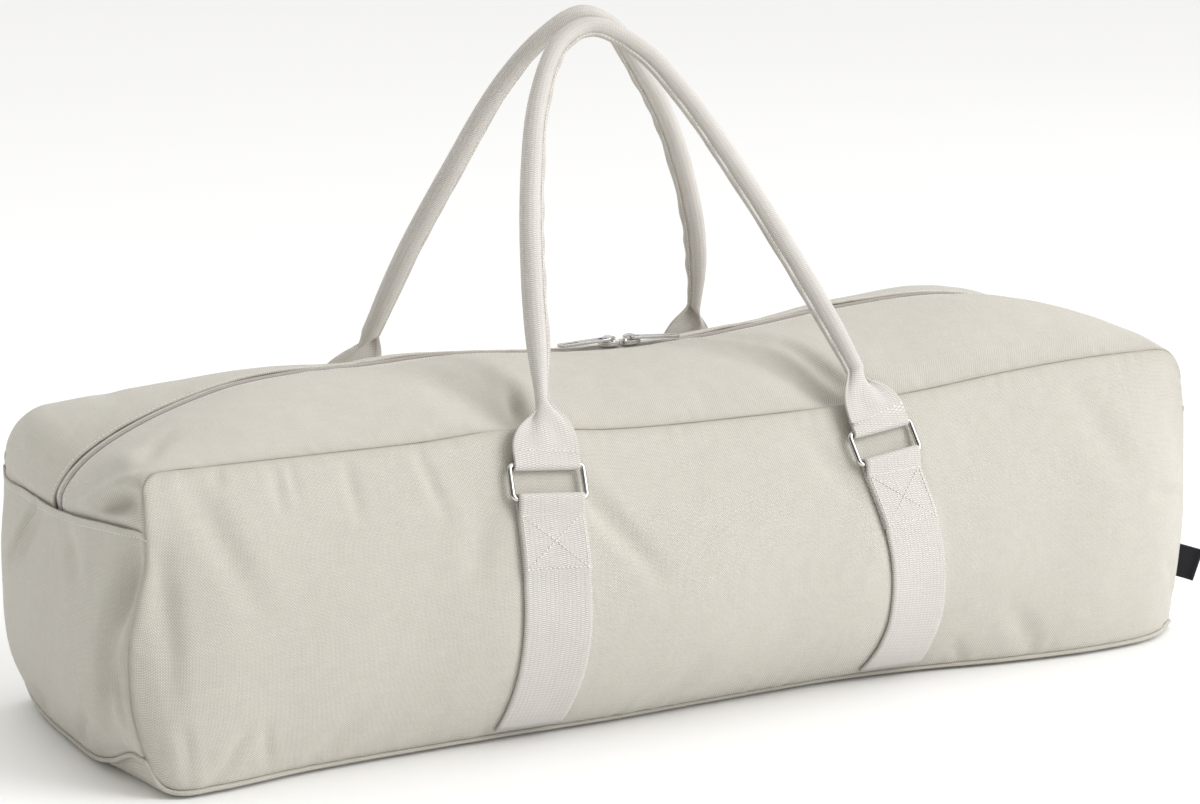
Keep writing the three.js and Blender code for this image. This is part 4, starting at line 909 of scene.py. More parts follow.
def gusset(side, name):
    w_row = graded(GUSSET_WIDTH, 2.6, EDGE_STEPS, (0, 0.5, 1.1, 1.8, ZIP_STITCH, 3.6, 5, 7)) / GUSSET_WIDTH
    outer, edge = seam_line(side), zip_points + (0, side * ZIP_OPENING / 2, 0)
    w = np.broadcast_to(w_row, (len(outer), len(w_row)))
    lean = np.maximum(0, zip_out[:, 2])[:, None] * (1 - w)
    direction = unit(zip_out[:, None] + np.stack([0 * lean, side * lean, 0 * lean], -1))
    column = "front" if side == FRONT else "back"
    points = mix(outer[:, None], edge[:, None], w[..., None])
    lifted = GUSSET_PUFF * read(gusset_swell, column, seam_share)[:, None] * np.sin(np.pi * w)
    for place, slant, reach, width, depth in gusset_hollows:
        across = bell(points[..., 0] - HALF * (place + slant * w), HALF * width)
        lifted -= GUSSET_PUFF * depth * across * np.sin(np.pi * np.sqrt(np.clip(w / reach, 0, 1)))
    points = points + direction * lifted[..., None]
    for hand, rows in ((-1, slice(0, SIDE_ROWS + 1)), (1, slice(-1, -SIDE_ROWS - 2, -1))):
        v = rise_rows[:, None] + 0 * w[rows]
        above = (v - HEM_ROW) * SEAM_HEIGHT
        behind = tucked_rows(hand, side, np.minimum(v, HEM_ROW), w[rows])
        behind[..., 2] += above
        share = np.clip(1 - above / HEM_BEND, 0, 1) ** 2 * ease(w[rows] * 14)
        points[rows] = mix(points[rows], behind, share[..., None])
    tail_v, tail_w = tail_rows[:, None] + 0 * w[:TAIL_ROWS], w[:TAIL_ROWS]
    tails = {hand: tucked_rows(hand, side, tail_v, tail_w) for hand in (-1, 1)}
    points = np.concatenate([tails[-1], points, tails[1][::-1]])
    normals = grid_normals(points, (0, 0, 1))
    run = run_along(points, 0)
    w = np.broadcast_to(w_row, points.shape[:2])
    to_seam, to_zip = w * GUSSET_WIDTH, (1 - w) * GUSSET_WIDTH
    above_hem = np.minimum(run, run[-1] - run) - HEM_LAP
    relief = creases(points, gusset_creases[side], [0, 1, 2]) * (1 - bell(to_seam, CREASE_FADE))
    relief += swells(points[..., 0], points[..., 1], 50 + side, 0.8, 90) * (1 - bell(to_seam, GUSSET_CALM))
    relief += swells(points[..., 0], points[..., 1], 60 + side, 0.13, 29)
    relief += ripples(run, to_seam, 26 + side, 0.5) + ripples(run, to_zip - ZIP_STITCH, 29 + side, 0.22, 15, 5)
    relief -= ZIP_STITCH_DENT * bell(to_zip - ZIP_STITCH, 0.8)
    relief -= ZIP_FOLD * (1 - np.clip(to_zip / 1.4, 0, 1)) ** 2
    relief *= ease(above_hem / HEM_LAP)
    points = rolled(points + normals * relief[..., None], to_seam)
    length = lengths_along(points, 0)
    uv = (length - length[-1] / 2, w * GUSSET_WIDTH)
    # darker beside the seam and the zip's folded edge: painted shade with soiling
    canvas_piece(name, points, (0, 0, 1), uv, shade_and_soil(to_seam) + 0.35 * shade_and_soil(to_zip, 1.2))
    row = int(np.argmin(np.abs(to_zip[0] - ZIP_STITCH)))
    shown = slice(TAIL_ROWS + 2, -TAIL_ROWS - 2)
    return points[shown, row], normals[shown, row]


zip_stitch_lines = [gusset(FRONT, "gusset_front"), gusset(BACK, "gusset_back")]

# %% [markdown]
# ## Base welt
#
# A cord wrapped in a narrow strip of canvas is sewn into the base seam. It is a tube swept round
# the seam line. The strip is cut on the bias, so its threads run at 45 degrees: the UV map is
# simply turned.

# %% Base welt
WELT_RADIUS = 1.6
WELT_SIDES = 12


def swept(centres, first, second, outline):
    """Rings of points: an outline of (along first, along second) pairs at each centre."""
    outline = np.asarray(outline, float)
    return (centres[:, None] + first[:, None] * outline[None, :, :1] + second[:, None] * outline[None, :, 1:])


def circle(radius, sides):
    angle = 2 * np.pi * np.arange(sides) / sides
    return radius * np.stack([np.cos(angle), np.sin(angle)], -1)


def base_outline():
    across = across_end[1:-1]
    return np.vstack([
        panel_point(FRONT, columns[FRONT], 0.0), end_point(1, across, 0.0),
        panel_point(BACK, columns[BACK], 0.0)[::-1], end_point(-1, across, 0.0)[::-1],
    ])


def base_welt():
    line = base_outline()
    tangent = unit(np.roll(line, -1, axis=0) - np.roll(line, 1, axis=0))
    away = -inward(line)
    away = unit(away - tangent * (away * tangent).sum(1, keepdims=True))
    centres = line + away * WELT_RADIUS * 0.3
    run = lengths_along(np.vstack([centres, centres[:1]]), 0)
    soft = WELT_RADIUS * (1 + 0.03 * np.sin(run[:-1] / 5.3) * np.sin(run[:-1] / 17))
    ring = soft[:, None, None] * circle(1.0, WELT_SIDES)
    points = centres[:, None] + away[:, None] * ring[..., :1] + np.cross(tangent, away)[:, None] * ring[..., 1:]
    points[..., 2] = np.maximum(points[..., 2], 0.2)
    around = 2 * np.pi * WELT_RADIUS * np.arange(WELT_SIDES + 1) / WELT_SIDES
    bias = np.stack([run[:, None] + around, run[:, None] - around], -1) / math.sqrt(2)
    # the whole welt a little darker: painted shade in the base seam, with soiling
    piece = grid_piece("canvas_base_welt", points, canvas, bias, loop_i=True, loop_j=True,
                       shade_and_wear=0.35 + 0 * points[..., 0])
    settle(piece, "canvas", "base_welt")


base_welt()

# %% [markdown]
# ## Zip tape
#
# The tape is a thin herringbone-like ribbon under the gussets' folded edges. Only a narrow strip of
# it shows on each side of the coil. Its weave is much finer than the canvas, and it is a little
# pinker.

# %% Zip tape
def woven_finish(name, light, dark, pitch, roughness, shine=0.2):
    """A fine ribbon weave with ribs across the ribbon."""
    finish = Finish(name, Roughness=roughness, Sheen_Weight=0.15, Specular_IOR_Level=shine)
    u, v = finish.uv()
    twill = finish.ribs(finish.plus(u, finish.times(v, 1.5)), pitch / 0.7)
    height = finish.plus(finish.times(finish.ribs(u, pitch), 0.6), finish.times(twill, 0.4))
    slow = finish.mottle(60.0)
    # darker where the ribs are low: painted shade in the weave's hollows
    colour = finish.darken(finish.blend(slow, dark, light), finish.spread(height, 0.82, 1.04))
    rough = finish.spread(slow, roughness - 0.06, roughness + 0.06)
    return finish.set(Base_Color=colour, Roughness=rough, Normal=finish.bump(height, 0.15, 0.5))


TAPE_WIDTH, TAPE_THICKNESS = 22, 0.9
COIL_PROUD = 0.3
HEM_SINK = LAYER + COIL_PROUD + GAP  # the zip behind a hem
tape_cloth = woven_finish("zip_tape", (0.69, 0.65, 0.60, 1), (0.63, 0.59, 0.545, 1), 0.55, 0.8)


def zip_run(step):
    """Points along the whole zip with its outward direction, its tails tucked behind the hems."""
    distance = np.arange(0, zip_path.length + step / 2, step)
    distance[-1] = zip_path.length
    points, out = zip_frame(distance)
    from_hem = np.minimum(distance, zip_path.length - distance)
    hand = np.where(distance < zip_path.length / 2, -1.0, 1.0)
    flat = np.stack([hand, 0 * hand, 0 * hand], -1)
    share = np.clip(1 - from_hem / HEM_BEND, 0, 1)[:, None] ** 2
    out = unit(mix(out, flat, share))
    points = points - out * (HEM_SINK * share)
    tails = []
    for end in (-1, 1):
        behind = end_point(end, across_at(end, 0) + 0 * tail_rows, tail_rows)
        behind[:, 1] = 0
        tails.append(behind - np.array((end * HEM_SINK, 0, 0)))
    out = np.vstack([np.tile((-1.0, 0, 0), (TAIL_ROWS, 1)), out, np.tile((1.0, 0, 0), (TAIL_ROWS, 1))])
    return np.vstack([tails[0], points, tails[1][::-1]]), out


def zip_strip(name, finish, places, step, shade_and_wear=0.0):
    """A solid strip along the zip through (y, depth) places, which go round its section."""
    centres, out = zip_run(step)
    points = np.stack([centres + (0, y, 0) - out * depth for y, depth in places], 1)
    return grid_piece(name, points, finish, loop_j=True, caps=True, shade_and_wear=shade_and_wear + 0 * points[..., 0])


TAPE_DEPTH, TAPE_DROOP = 1.15, 0.2  # depth below the zip line, and how much lower the edges are
TAPE_FLAT = 4.7  # half the width of its level middle
half, low = TAPE_WIDTH / 2, TAPE_DEPTH + TAPE_THICKNESS
tape = zip_strip("woven_zip_tape", tape_cloth, [
    (-half, TAPE_DEPTH + TAPE_DROOP), (-TAPE_FLAT, TAPE_DEPTH), (TAPE_FLAT, TAPE_DEPTH),
    (half, TAPE_DEPTH + TAPE_DROOP), (half, low + TAPE_DROOP), (TAPE_FLAT, low), (-TAPE_FLAT, low),
    (-half, low + TAPE_DROOP),
], 3.0)
settle(tape, "zip_tape", "zip_tape")

# %% [markdown]
# ## Rows of small pieces with Geometry Nodes
#
# Zip teeth and stitches are the same idea: one small rounded piece, repeated at an even pitch along
# a line. One Geometry Nodes tree does both. Its input is a mesh of plain edges whose points carry
# an "up" vector. The tree turns the edges into curves, resamples them at the pitch, sets one piece
# on each point, and makes it all real.

# %% Row tree
def row_tree():
    tree = bpy.data.node_groups.new("row_of_pieces", "GeometryNodeTree")
    tree.interface.new_socket("Geometry", in_out="INPUT", socket_type="NodeSocketGeometry")
    sizes = {"Pitch": 3.0, "Along": 2.4, "Across": 0.7, "Height": 0.6, "Shift": 0.0, "Lean": 0.0, "Wobble": 0.1}
    for name, value in sizes.items():
        socket = tree.interface.new_socket(name, in_out="INPUT", socket_type="NodeSocketFloat")
        socket.default_value = value
    tree.interface.new_socket("Finish", in_out="INPUT", socket_type="NodeSocketMaterial")
    tree.interface.new_socket("Geometry", in_out="OUTPUT", socket_type="NodeSocketGeometry")
    given = tree.nodes.new("NodeGroupInput").outputs
    result = tree.nodes.new("NodeGroupOutput").inputs[0]

    def node(kind, inputs, **settings):
        return add_node(tree, kind, inputs, **settings)[0]

    def geometry(kind, inputs, **settings):
        return node("GeometryNode" + kind, inputs, **settings)

    def on_axis(axis, name):
        return node("ShaderNodeCombineXYZ", {axis: given[name]})

    def wobbled(operation):
        return node("ShaderNodeMath", {0: 1.0, 1: given["Wobble"]}, operation=operation)

    curve = geometry("MeshToCurve", {"Mesh": given["Geometry"]})
    evenly = geometry("ResampleCurve", {"Curve": curve, "Length": given["Pitch"]}, mode="LENGTH")
    up = geometry("InputNamedAttribute", {"Name": "up"}, data_type="FLOAT_VECTOR")
    axes = {"Primary Axis": up, "Secondary Axis": geometry("InputTangent", {})}
    turn = node("FunctionNodeAxesToRotation", axes, primary_axis="Z", secondary_axis="X")
    bead = geometry("MeshUVSphere", {"Segments": 7, "Rings": 5, "Radius": 0.5})
    size = node("ShaderNodeCombineXYZ", {0: given["Along"], 1: given["Across"], 2: given["Height"]})
    shaped = geometry("Transform", {"Geometry": bead, "Scale": size})
    leaned = geometry("Transform", {
        "Geometry": shaped, "Rotation": on_axis(2, "Lean"), "Translation": on_axis(1, "Shift"),
    })
    limits = {"Min": wobbled("SUBTRACT"), "Max": wobbled("ADD"), "Seed": 7}
    scales = add_node(tree, "FunctionNodeRandomValue", limits, data_type="FLOAT")
    scale = next(socket for socket in scales if socket.enabled)
    placed = geometry("InstanceOnPoints", {
        "Points": evenly, "Instance": leaned, "Rotation": turn, "Scale": scale,
    })
    smooth = geometry("SetShadeSmooth", {0: geometry("RealizeInstances", {"Geometry": placed})})
    finished = geometry("SetMaterial", {"Geometry": smooth, "Material": given["Finish"]})
    tree.links.new(finished, result)
    return tree


row_of_pieces = row_tree()
print("row tree nodes:", len(row_of_pieces.nodes))


# %% Rows of pieces
def row_of(name, lines, finish, **sizes):
    """One mesh of small pieces along lines, each a pair of point and up-vector grids in millimetres."""
    points = np.vstack([line for line, _ in lines])
    ups = np.vstack([up for _, up in lines])
    edges, start = [], 0
    for line, _ in lines:
        edges += [(start + k, start + k + 1) for k in range(len(line) - 1)]
        start += len(line)
    mesh = bpy.data.meshes.new(name + "_line")
    mesh.from_pydata((points * MM).tolist(), edges, [])
    up = mesh.attributes.new("up", "FLOAT_VECTOR", "POINT")
    up.data.foreach_set("vector", ups.ravel())
    guide = add_object(name + "_line", mesh)
    nodes = guide.modifiers.new("rows", "NODES")
    nodes.node_group = row_of_pieces
    for item in row_of_pieces.interface.items_tree:
        if item.in_out == "INPUT" and item.name in sizes:
            value = sizes[item.name]
            nodes[item.identifier] = float(value) if item.name in ("Lean", "Wobble") else value * MM
        elif item.in_out == "INPUT" and item.name == "Finish":
            nodes[item.identifier] = finish
    evaluated = guide.evaluated_get(bpy.context.evaluated_depsgraph_get())
    made = bpy.data.meshes.new_from_object(evaluated)
    made.name = name
    bpy.data.objects.remove(guide)
    return add_object(name, made)


# %% [markdown]
# ## Zip teeth
#
# The closed coil is two rows of nylon loops that lock in the middle. Each loop is one rounded piece
# that leans a little, and the two rows are half a pitch apart. A soft cord lies inside the loops,
# so that light can't pass between them.

# %% Zip teeth
def plastic_finish(name, light, dark, roughness):
    finish = Finish(name, Specular_IOR_Level=0.5)
    slow, fine = finish.mottle(140.0), finish.mottle(2600.0, 1.0)
    rough = finish.spread(slow, roughness - 0.08, roughness + 0.1)
    return finish.set(
        Base_Color=finish.blend(slow, dark, light), Roughness=rough, Normal=finish.bump(fine, 0.04, 0.3))


nylon = plastic_finish("zip_coil", (0.54, 0.49, 0.47, 1), (0.43, 0.39, 0.38, 1), 0.42)
TOOTH_PITCH, TOOTH_DEPTH, TOOTH_SHIFT, TOOTH_LEAN = 1.6, 0.75, 1.35, 0.16

cord = zip_strip("coil_cord", nylon, [
    (-2.2, 0.95), (-1.2, 0.6), (1.2, 0.6), (2.2, 0.95), (2.2, 1.3), (-2.2, 1.3),
], 3.0, shade_and_wear=0.6)
settle(cord, "zip_coil", "zip_teeth")
coil_line, coil_up = zip_run(2.0)
along = unit(np.gradient(coil_line, axis=0))
for row, side, start in (("front", FRONT, 0.0), ("back", BACK, TOOTH_PITCH / 2)):
    line = coil_line + along * start - coil_up * TOOTH_DEPTH
    teeth = row_of("zip_teeth_" + row, [(line, coil_up)], nylon, Pitch=TOOTH_PITCH, Along=1.2, Across=3.3,
                   Height=1.25, Shift=side * TOOTH_SHIFT, Lean=side * TOOTH_LEAN, Wobble=0.02)
    settle(teeth, "zip_coil")

# %% [markdown]
# ## Nickel
#
# The rings, the sliders and their tabs are nickel-plated: a bright mirror with a trace of yellow,
# and with faint hazy patches and hair scratches from use. Roughness carries the haze and a very
# shallow bump the scratches.

# %% Nickel
def nickel_finish():
    finish = Finish("nickel", Metallic=1.0)
    haze = finish.mottle(55.0, 4.0, 0.6)
    return finish.set(
        Base_Color=finish.blend(haze, (0.50, 0.49, 0.475, 1), (0.68, 0.67, 0.655, 1)),
        Roughness=finish.spread(haze, 0.10, 0.26), Normal=finish.bump(finish.mottle(900.0), 0.03, 0.12),
    )


nickel = nickel_finish()

# %% [markdown]
# ## Straps and rings
#
# Each strap is 47 mm webbing. It is sewn to its panel, runs up over its own folded-back end, goes
# round the lower bar of a wire ring and comes down behind itself. The strap is the middle surface
# of a ribbon, which Solidify makes 1.5 mm thick, and the ring is a round section swept along a
# rectangle with bent corners.

# %% Webbing
RIB_PITCH, RIB_COLUMN = 1.3, 3.0


def webbing_finish():
    """Cross ribs in columns, as the picks of a heavy tape make them, each column half a rib out of step."""
    finish = Finish("webbing", Sheen_Weight=0.2, Sheen_Roughness=0.5, Specular_IOR_Level=0.25)
    u, v = finish.uv()
    column = finish.wave(v, RIB_COLUMN)
    rib = finish.ribs(u, RIB_PITCH, finish.times(finish.math("SIGN", column), math.pi / 4))
    groove = finish.math("POWER", finish.math("ABSOLUTE", column), 0.35)
    height = finish.times(rib, finish.spread(groove, 0.45, 1.0))
    height = finish.plus(height, finish.times(finish.stretched(u, v, 60.0, 900.0), 0.35))
    slow = finish.mottle(16.0, 3.0)
    colour = finish.blend(slow, (0.60, 0.573, 0.54, 1), (0.68, 0.653, 0.62, 1))
    # darker where the ribs are low and in the grooves between columns: painted shade in the weave's hollows
    colour = finish.darken(colour, finish.spread(height, 0.62, 1.14))
    return finish.set(
        Base_Color=finish.shaded_and_soiled(colour, 0.35, (0.50, 0.45, 0.39, 1)), Roughness=finish.spread(slow, 0.8, 0.92),
        Normal=finish.bump(height, 0.35, 0.8),
    )


webbing_cloth = webbing_finish()

# %% Rings' places
WEBBING_THICKNESS = 1.5
RING_WIRE, RING_RISE, RING_ROOM, RING_CORNER = 3.8, 26, 2, 3.2
RING_STAND_OFF = 5
RING_HEIGHT = {"left": 168.5, "right": 167}
BAR_DROP = (RING_RISE - RING_WIRE) / 2
RING_HALF = (WEBBING + RING_ROOM + RING_WIRE) / 2
FOLD_RADIUS = RING_WIRE / 2 + GAP + WEBBING_THICKNESS / 2
rings = [("front_left", FRONT, "left", -5), ("front_right", FRONT, "right", 7),
         ("back_left", BACK, "left", 2), ("back_right", BACK, "right", 3)]


def u_at(side, x, v):
    left, right = (HALF * read(corner_seams[side], hand, v) for hand in ("left", "right"))
    return (x + left) / (left + right)


def row_at(side, hand, z):
    """Share of a panel's height at which the middle of a strap is z above the floor."""
    v = np.linspace(0, 1, 401)
    return np.interp(z, panel_point(side, u_at(side, strap_x(side, hand, v), v), v)[..., 2], v)


def panel_normal(side, u, v):
    step = 0.01
    along = panel_point(side, u + step, v) - panel_point(side, u - step, v)
    up = panel_point(side, u, v + step) - panel_point(side, u, v - step)
    return unit(np.cross(along, up)) * -side


def on_strap(side, hand, z, across=0.0, lift=0.0):
    """Points on a strap's way up its panel at height z, with the panel's normals there."""
    v = row_at(side, hand, z)
    u = u_at(side, strap_x(side, hand, v) + across, v)
    v = v + 0 * u
    normal = panel_normal(side, u, v)
    return panel_point(side, u, v) + normal * np.asarray(lift)[..., None], normal


def ring_frame(side, hand, tilt):
    """A ring's middle, and its directions: right along the bars, up in its plane, and out of the bag."""
    middle, out = on_strap(side, hand, RING_HEIGHT[hand], lift=RING_STAND_OFF)
    flat = unit(np.array((1.0, 0, 0)) - out * out[0])
    angle = math.radians(-side * tilt)
    right = flat * math.cos(angle) + np.cross(out, flat) * math.sin(angle)
    return middle, right, unit(-side * np.cross(out, right)), out


def round_corners(length, width, radius, steps):
    """Points round a rectangle with round corners, and the way that each faces, in its own plane."""
    turn = (np.arange(4)[:, None] * np.pi / 2 + np.linspace(0, np.pi / 2, steps)).ravel()
    way = np.stack([np.cos(turn), np.sin(turn)], -1)
    corner = np.repeat([(1, 1), (-1, 1), (-1, -1), (1, -1)], steps, axis=0)
    return corner * (length / 2 - radius, width / 2 - radius) + radius * way, way


# %% Wire rings
def wire_ring(name, side, hand, tilt):
    middle, right, up, out = ring_frame(side, hand, tilt)
    plane = np.stack([right, up])
    places, ways = round_corners(2 * RING_HALF, 2 * BAR_DROP, RING_CORNER, 9)
    ways = ways @ plane
    points = swept(middle + places @ plane, ways, np.broadcast_to(out, ways.shape), circle(RING_WIRE / 2, 16))
    piece = grid_piece("wire_" + name, points, nickel, loop_i=True, loop_j=True)
    settle(piece, "metal", "ring_" + name)


for ring in rings:
    wire_ring(*ring)

# %% Straps
STRAP_LIFT, STRAP_START, STRAP_TUCK = 0.7, 11, 45
TUCK_STEP, RING_RUN = 9, 12
EDGE_DARK_REACH = 1.2
STITCH_INSET, STITCH_PROUD = 2.5, 0.15  # from the webbing's edge, and above its face
strap_sew = {}


def webbing_piece(name, points, across, run, worn_and_shaded):
    """A ribbon of webbing for a CAD solid, darker along both edges."""
    # darker along both edges
    edge = 0.6 * shade_and_soil(WEBBING / 2 - np.abs(across), EDGE_DARK_REACH)
    uv = np.stack([run, across + 0 * run], -1)
    piece = grid_piece("webbing_" + name, points, webbing_cloth, uv, shade_and_wear=edge + worn_and_shaded)
    settle(give_wall(piece, WEBBING_THICKNESS, 0.0), "webbing", name)


def strap(name, side, hand, tilt):
    middle, right, up, out = ring_frame(side, hand, tilt)
    bar = middle - up * BAR_DROP
    across = np.linspace(-WEBBING / 2, WEBBING / 2, 17)
    single = STRAP_LIFT + WEBBING_THICKNESS / 2
    layer = WEBBING_THICKNESS + GAP
    tuck_end = bar[2] - STRAP_TUCK

    up_z = graded(bar[2] - RING_RUN - STRAP_START, 3.5) + STRAP_START
    climb = single + layer * ease((up_z - tuck_end + TUCK_STEP * 2 / 3) / TUCK_STEP)
    soft = swells(up_z[:, None], across[None, :], 70 + len(name), 0.25, 60)
    front, _ = on_strap(side, hand, up_z[:, None], across, climb[:, None] + np.maximum(soft, -0.2))
    angles = np.radians(np.arange(0, 181, 15))
    turned = np.cos(angles)[:, None] * out + np.sin(angles)[:, None] * up
    fold = (bar + turned * FOLD_RADIUS)[:, None] + right * across[:, None]
    down_z = graded(bar[2] - RING_RUN - tuck_end, 5.0) + tuck_end
    behind, _ = on_strap(side, hand, down_z[::-1, None], across, single)
    bridge = np.linspace(0, 1, 6)[1:-1, None, None]
    to_fold = mix(front[-1], fold[0], ease(bridge) * 0.3 + bridge * 0.7)
    from_fold = mix(fold[-1], behind[0], bridge)
    points = np.concatenate([front, to_fold, fold, from_fold, behind])
    run = run_along(points, len(across) // 2)
    worn_and_shaded = 0.25 * shade_and_soil(np.abs(run - run[len(front) + 9]), 5)
    webbing_piece("strap_" + name, points, across, run, worn_and_shaded)

    low_z, top_z = bar[2] - STRAP_TUCK + 2, bar[2] - 11
    proud = single + layer + WEBBING_THICKNESS / 2 + STITCH_PROUD
    half = WEBBING / 2 - STITCH_INSET
    one, steps = np.ones(30), np.linspace(0, 1, 30)
    slope = mix(-half, half, steps)
    box = [(0 * one, slope), (one, slope), (steps, -half * one), (steps, half * one)]
    box += [(steps, slope), (steps, -slope)]
    strap_sew[name] = [on_strap(side, hand, mix(low_z, top_z, t), x, proud) for t, x in box]


for ring in rings:
    strap(*ring)

# %% [markdown]
# ## Handles
#
# A handle is one length of the same webbing. Over its middle it is folded round a soft core and
# sewn into a tube with a narrow fin on the inside of the arch. Near each ring it pinches into a
# neck, opens out flat, goes under the ring's upper bar and is sewn down behind itself. The cloth
# never changes here, only its cross section, so the mesh is the flat strip itself: each row of
# points is bent from flat to tube as it goes along the arch.

# %% Handle line
HANDLE_RISE = {FRONT: 270, BACK: 277}
HANDLE_APART = 17
HANDLE_TUCK, TUCK_WIDTH = 10.5, 0.86  # length folded up behind the bar, and its share of the webbing's width
FLARE = {FRONT: 34, BACK: 46}
PINCH = {FRONT: (0.47, 0.16), BACK: (0.16, 0.4)}
TOP_TAPER = 0.2
handle_rows = {
    FRONT: ((0.03, 0.2), (0.065, 0.4), (0.12, 0.62), (0.2, 0.83), (0.3, 0.963), (0.408, 1), (0.54, 0.934),
            (0.645, 0.804), (0.751, 0.616), (0.853, 0.406), (0.94, 0.2)),
    BACK: ((0.04, 0.17), (0.1, 0.4), (0.175, 0.61), (0.26, 0.82), (0.345, 0.94), (0.439, 1), (0.54, 0.965),
           (0.625, 0.88), (0.75, 0.735), (0.861, 0.56), (0.95, 0.37), (0.995, 0.19)),
}


def handle_line(side):
    left, right = (ring_frame(side, hand, tilt) for _, where, hand, tilt in rings if where == side)
    bars = [frame[0] + frame[2] * BAR_DROP for frame in (left, right)]
    starts = [bar + frame[3] * FOLD_RADIUS for bar, frame in zip(bars, (left, right))]
    top = (bars[0][2] + bars[1][2]) / 2 + HANDLE_RISE[side]
    line = []
    for along, rise in handle_rows[side]:
        foot = mix(starts[0], starts[1], along)
        line.append((foot[0], mix(foot[1], side * HANDLE_APART / 2, rise), mix(foot[2], top, rise)))
    ends = [start + frame[2] * FLARE[side] / 4 for start, frame in zip(starts, (left, right))]
    plane = unit(np.array((0, side * (top - bars[0][2]), abs(bars[0][1]))))
    return Path([ends[0], *line, ends[1]]), (left, right), bars, plane


# %% Handle cross section
CORE_RADIUS = 6.3
FIN_GAP = 0.82  # middle of each of the fin's two layers from the fin's middle
FIN_START = 20.1  # from the middle of the webbing to where its edge becomes the fin
NECK_TO_RING, NECK_TO_TUBE = 9, 26  # how far the pinch reaches on each side of the neck
CREST, CREST_REACH = 0.47, 90  # where the hand has pressed the tube thin, as a share of its length


def strip_section(across, roundness):
    """Places (b, a) of points across the webbing: flat along b at 0, and a tube with its fin along +b at 1."""
    turn = np.clip(np.abs(across), 0, FIN_START) / FIN_START * (np.pi - 0.13)
    extra = np.clip(np.abs(across) - FIN_START, 0, None)
    tube_b = -CORE_RADIUS * np.cos(turn) + extra
    tube_a = np.sign(across) * np.maximum(CORE_RADIUS * np.sin(turn), FIN_GAP * (turn > 2))
    return mix(across, tube_b, roundness), mix(0 * across, tube_a, roundness)


def neck(place, flare, pinch):
    """Share of its full size that the section keeps: the webbing pinches in where it leaves the tube."""
    return 1 - pinch * bell(place - flare, np.where(place < flare, NECK_TO_RING, NECK_TO_TUBE))


# %% Handle ends
def fold_end(bar, frame, across, flare, entering):
    """Rows of a handle's end, from its tuck behind the ring, round the upper bar and out towards the flare."""
    _, right, up, out = frame
    angles = np.radians(np.arange(180, -1, -15))
    normal = np.cos(angles)[:, None] * out - np.sin(angles)[:, None] * up
    centres = list(bar + normal * FOLD_RADIUS)
    deep = -(WEBBING_THICKNESS + GAP) / 2 - FOLD_RADIUS / 2
    back = [bar + up * rise + out * mix(-FOLD_RADIUS, deep, ease((rise - 2) / 8))
            for rise in np.linspace(HANDLE_TUCK, 2, 5)]
    start = bar + out * FOLD_RADIUS
    join = [mix(start, start + up * flare / 4, t) for t in (0.3, 0.65)]
    inside = right if entering else -right
    widths = [TUCK_WIDTH] * len(back) + [1.0] * (len(centres) + len(join))
    rows = [c + inside * across[:, None] * w for c, w in zip([*back, *centres, *join], widths)]
    return np.array(rows if entering else rows[::-1])


# %% Handles
handle_sew = {}


def handle(name, side):
    path, frames, bars, plane = handle_line(side)
    fin = np.linspace(FIN_START, WEBBING / 2, 4)[1:]
    across = np.concatenate([-fin[::-1], np.linspace(-FIN_START, FIN_START, 33), fin])
    flare = FLARE[side]
    neck_end = flare + 20
    ends = np.arange(0, neck_end, 2.0)
    middle = np.linspace(neck_end, path.length - neck_end, 170)
    places = np.concatenate([ends, middle, path.length - ends[::-1]])
    centre, tangent = path.at(places), path.tangent(places)
    from_end = np.minimum(places, path.length - places)
    near_end = np.clip(from_end / flare, 0, 1)[:, None]
    first_half = (places < path.length / 2)[:, None]
    ring_inside = np.where(first_half, frames[0][1], -frames[1][1])
    path_inside = unit(-side * np.cross(tangent, plane))
    b = mix(ring_inside, path_inside, ease(near_end))
    b = unit(b - tangent * (b * tangent).sum(1, keepdims=True))
    a = -side * np.cross(b, tangent)
    roundness = near_end**2.2
    pinch = np.where(first_half, *PINCH[side])[:, 0]
    top = bell(places - path.length * CREST, CREST_REACH)
    size = (neck(from_end, flare, pinch) * (1 - TOP_TAPER * top))[:, None]
    section_b, section_a = strip_section(across[None, :], roundness)
    fan = 0.9 * np.sin(np.pi * near_end) * np.cos(across / 4.2 + 0.6) * bell(across, 19)
    centre_run = places[:, None] + 0 * across
    soft = 1 + swells(centre_run, 6 * across[None, :], 80 + side, 0.012, 45)
    on_fin = np.clip((np.abs(across) - FIN_START) / 2, 0, 1) * roundness
    wavy = 0.55 * on_fin * np.sin(centre_run / 5.2 + 2 * np.sin(centre_run / 23))
    spread_b, spread_a = section_b * size * soft + wavy / 2, section_a * size * soft + fan + wavy
    body = centre[:, None] + b[:, None] * spread_b[..., None] + a[:, None] * spread_a[..., None]

    first, last = (fold_end(bars[k], frames[k], across, flare, k == 0) for k in (0, 1))
    points = np.concatenate([first, body, last])
    run = run_along(points, len(across) // 2)
    high = bell(points[..., 2] - points[..., 2].max(), 60)
    webbing_piece(name, points, across, run, 0.3 * high)

    inner = slice(len(ends) - 4, 4 - len(ends))
    lines = []
    proud = FIN_GAP + WEBBING_THICKNESS / 2 + 0.1
    for face in (1, -1):
        seam = centre + b * ((CORE_RADIUS + 1.7) * size) + a * (face * proud * size)
        lines.append((seam[inner], (a * face)[inner]))
    for row, (_, right, up, out) in zip((body[0], body[-1]), frames):
        sewn = row[2:-2] + out * (WEBBING_THICKNESS / 2 + STITCH_PROUD)
        lines.append((sewn, np.broadcast_to(out, sewn.shape)))
    handle_sew[name] = lines


handle("handle_front", FRONT)
handle("handle_back", BACK)

# %% [markdown]
# ## Stitches
#
# Stitching is what tells the eye that this is a sewn thing, and how big it is. The seams beside the
# zip, the hems, the crossed boxes on the straps and the handles' fins all use the row tree, with a
# thread piece of about 2.5 mm. Each stitch lies half sunk in the cloth, as a tight thread does.

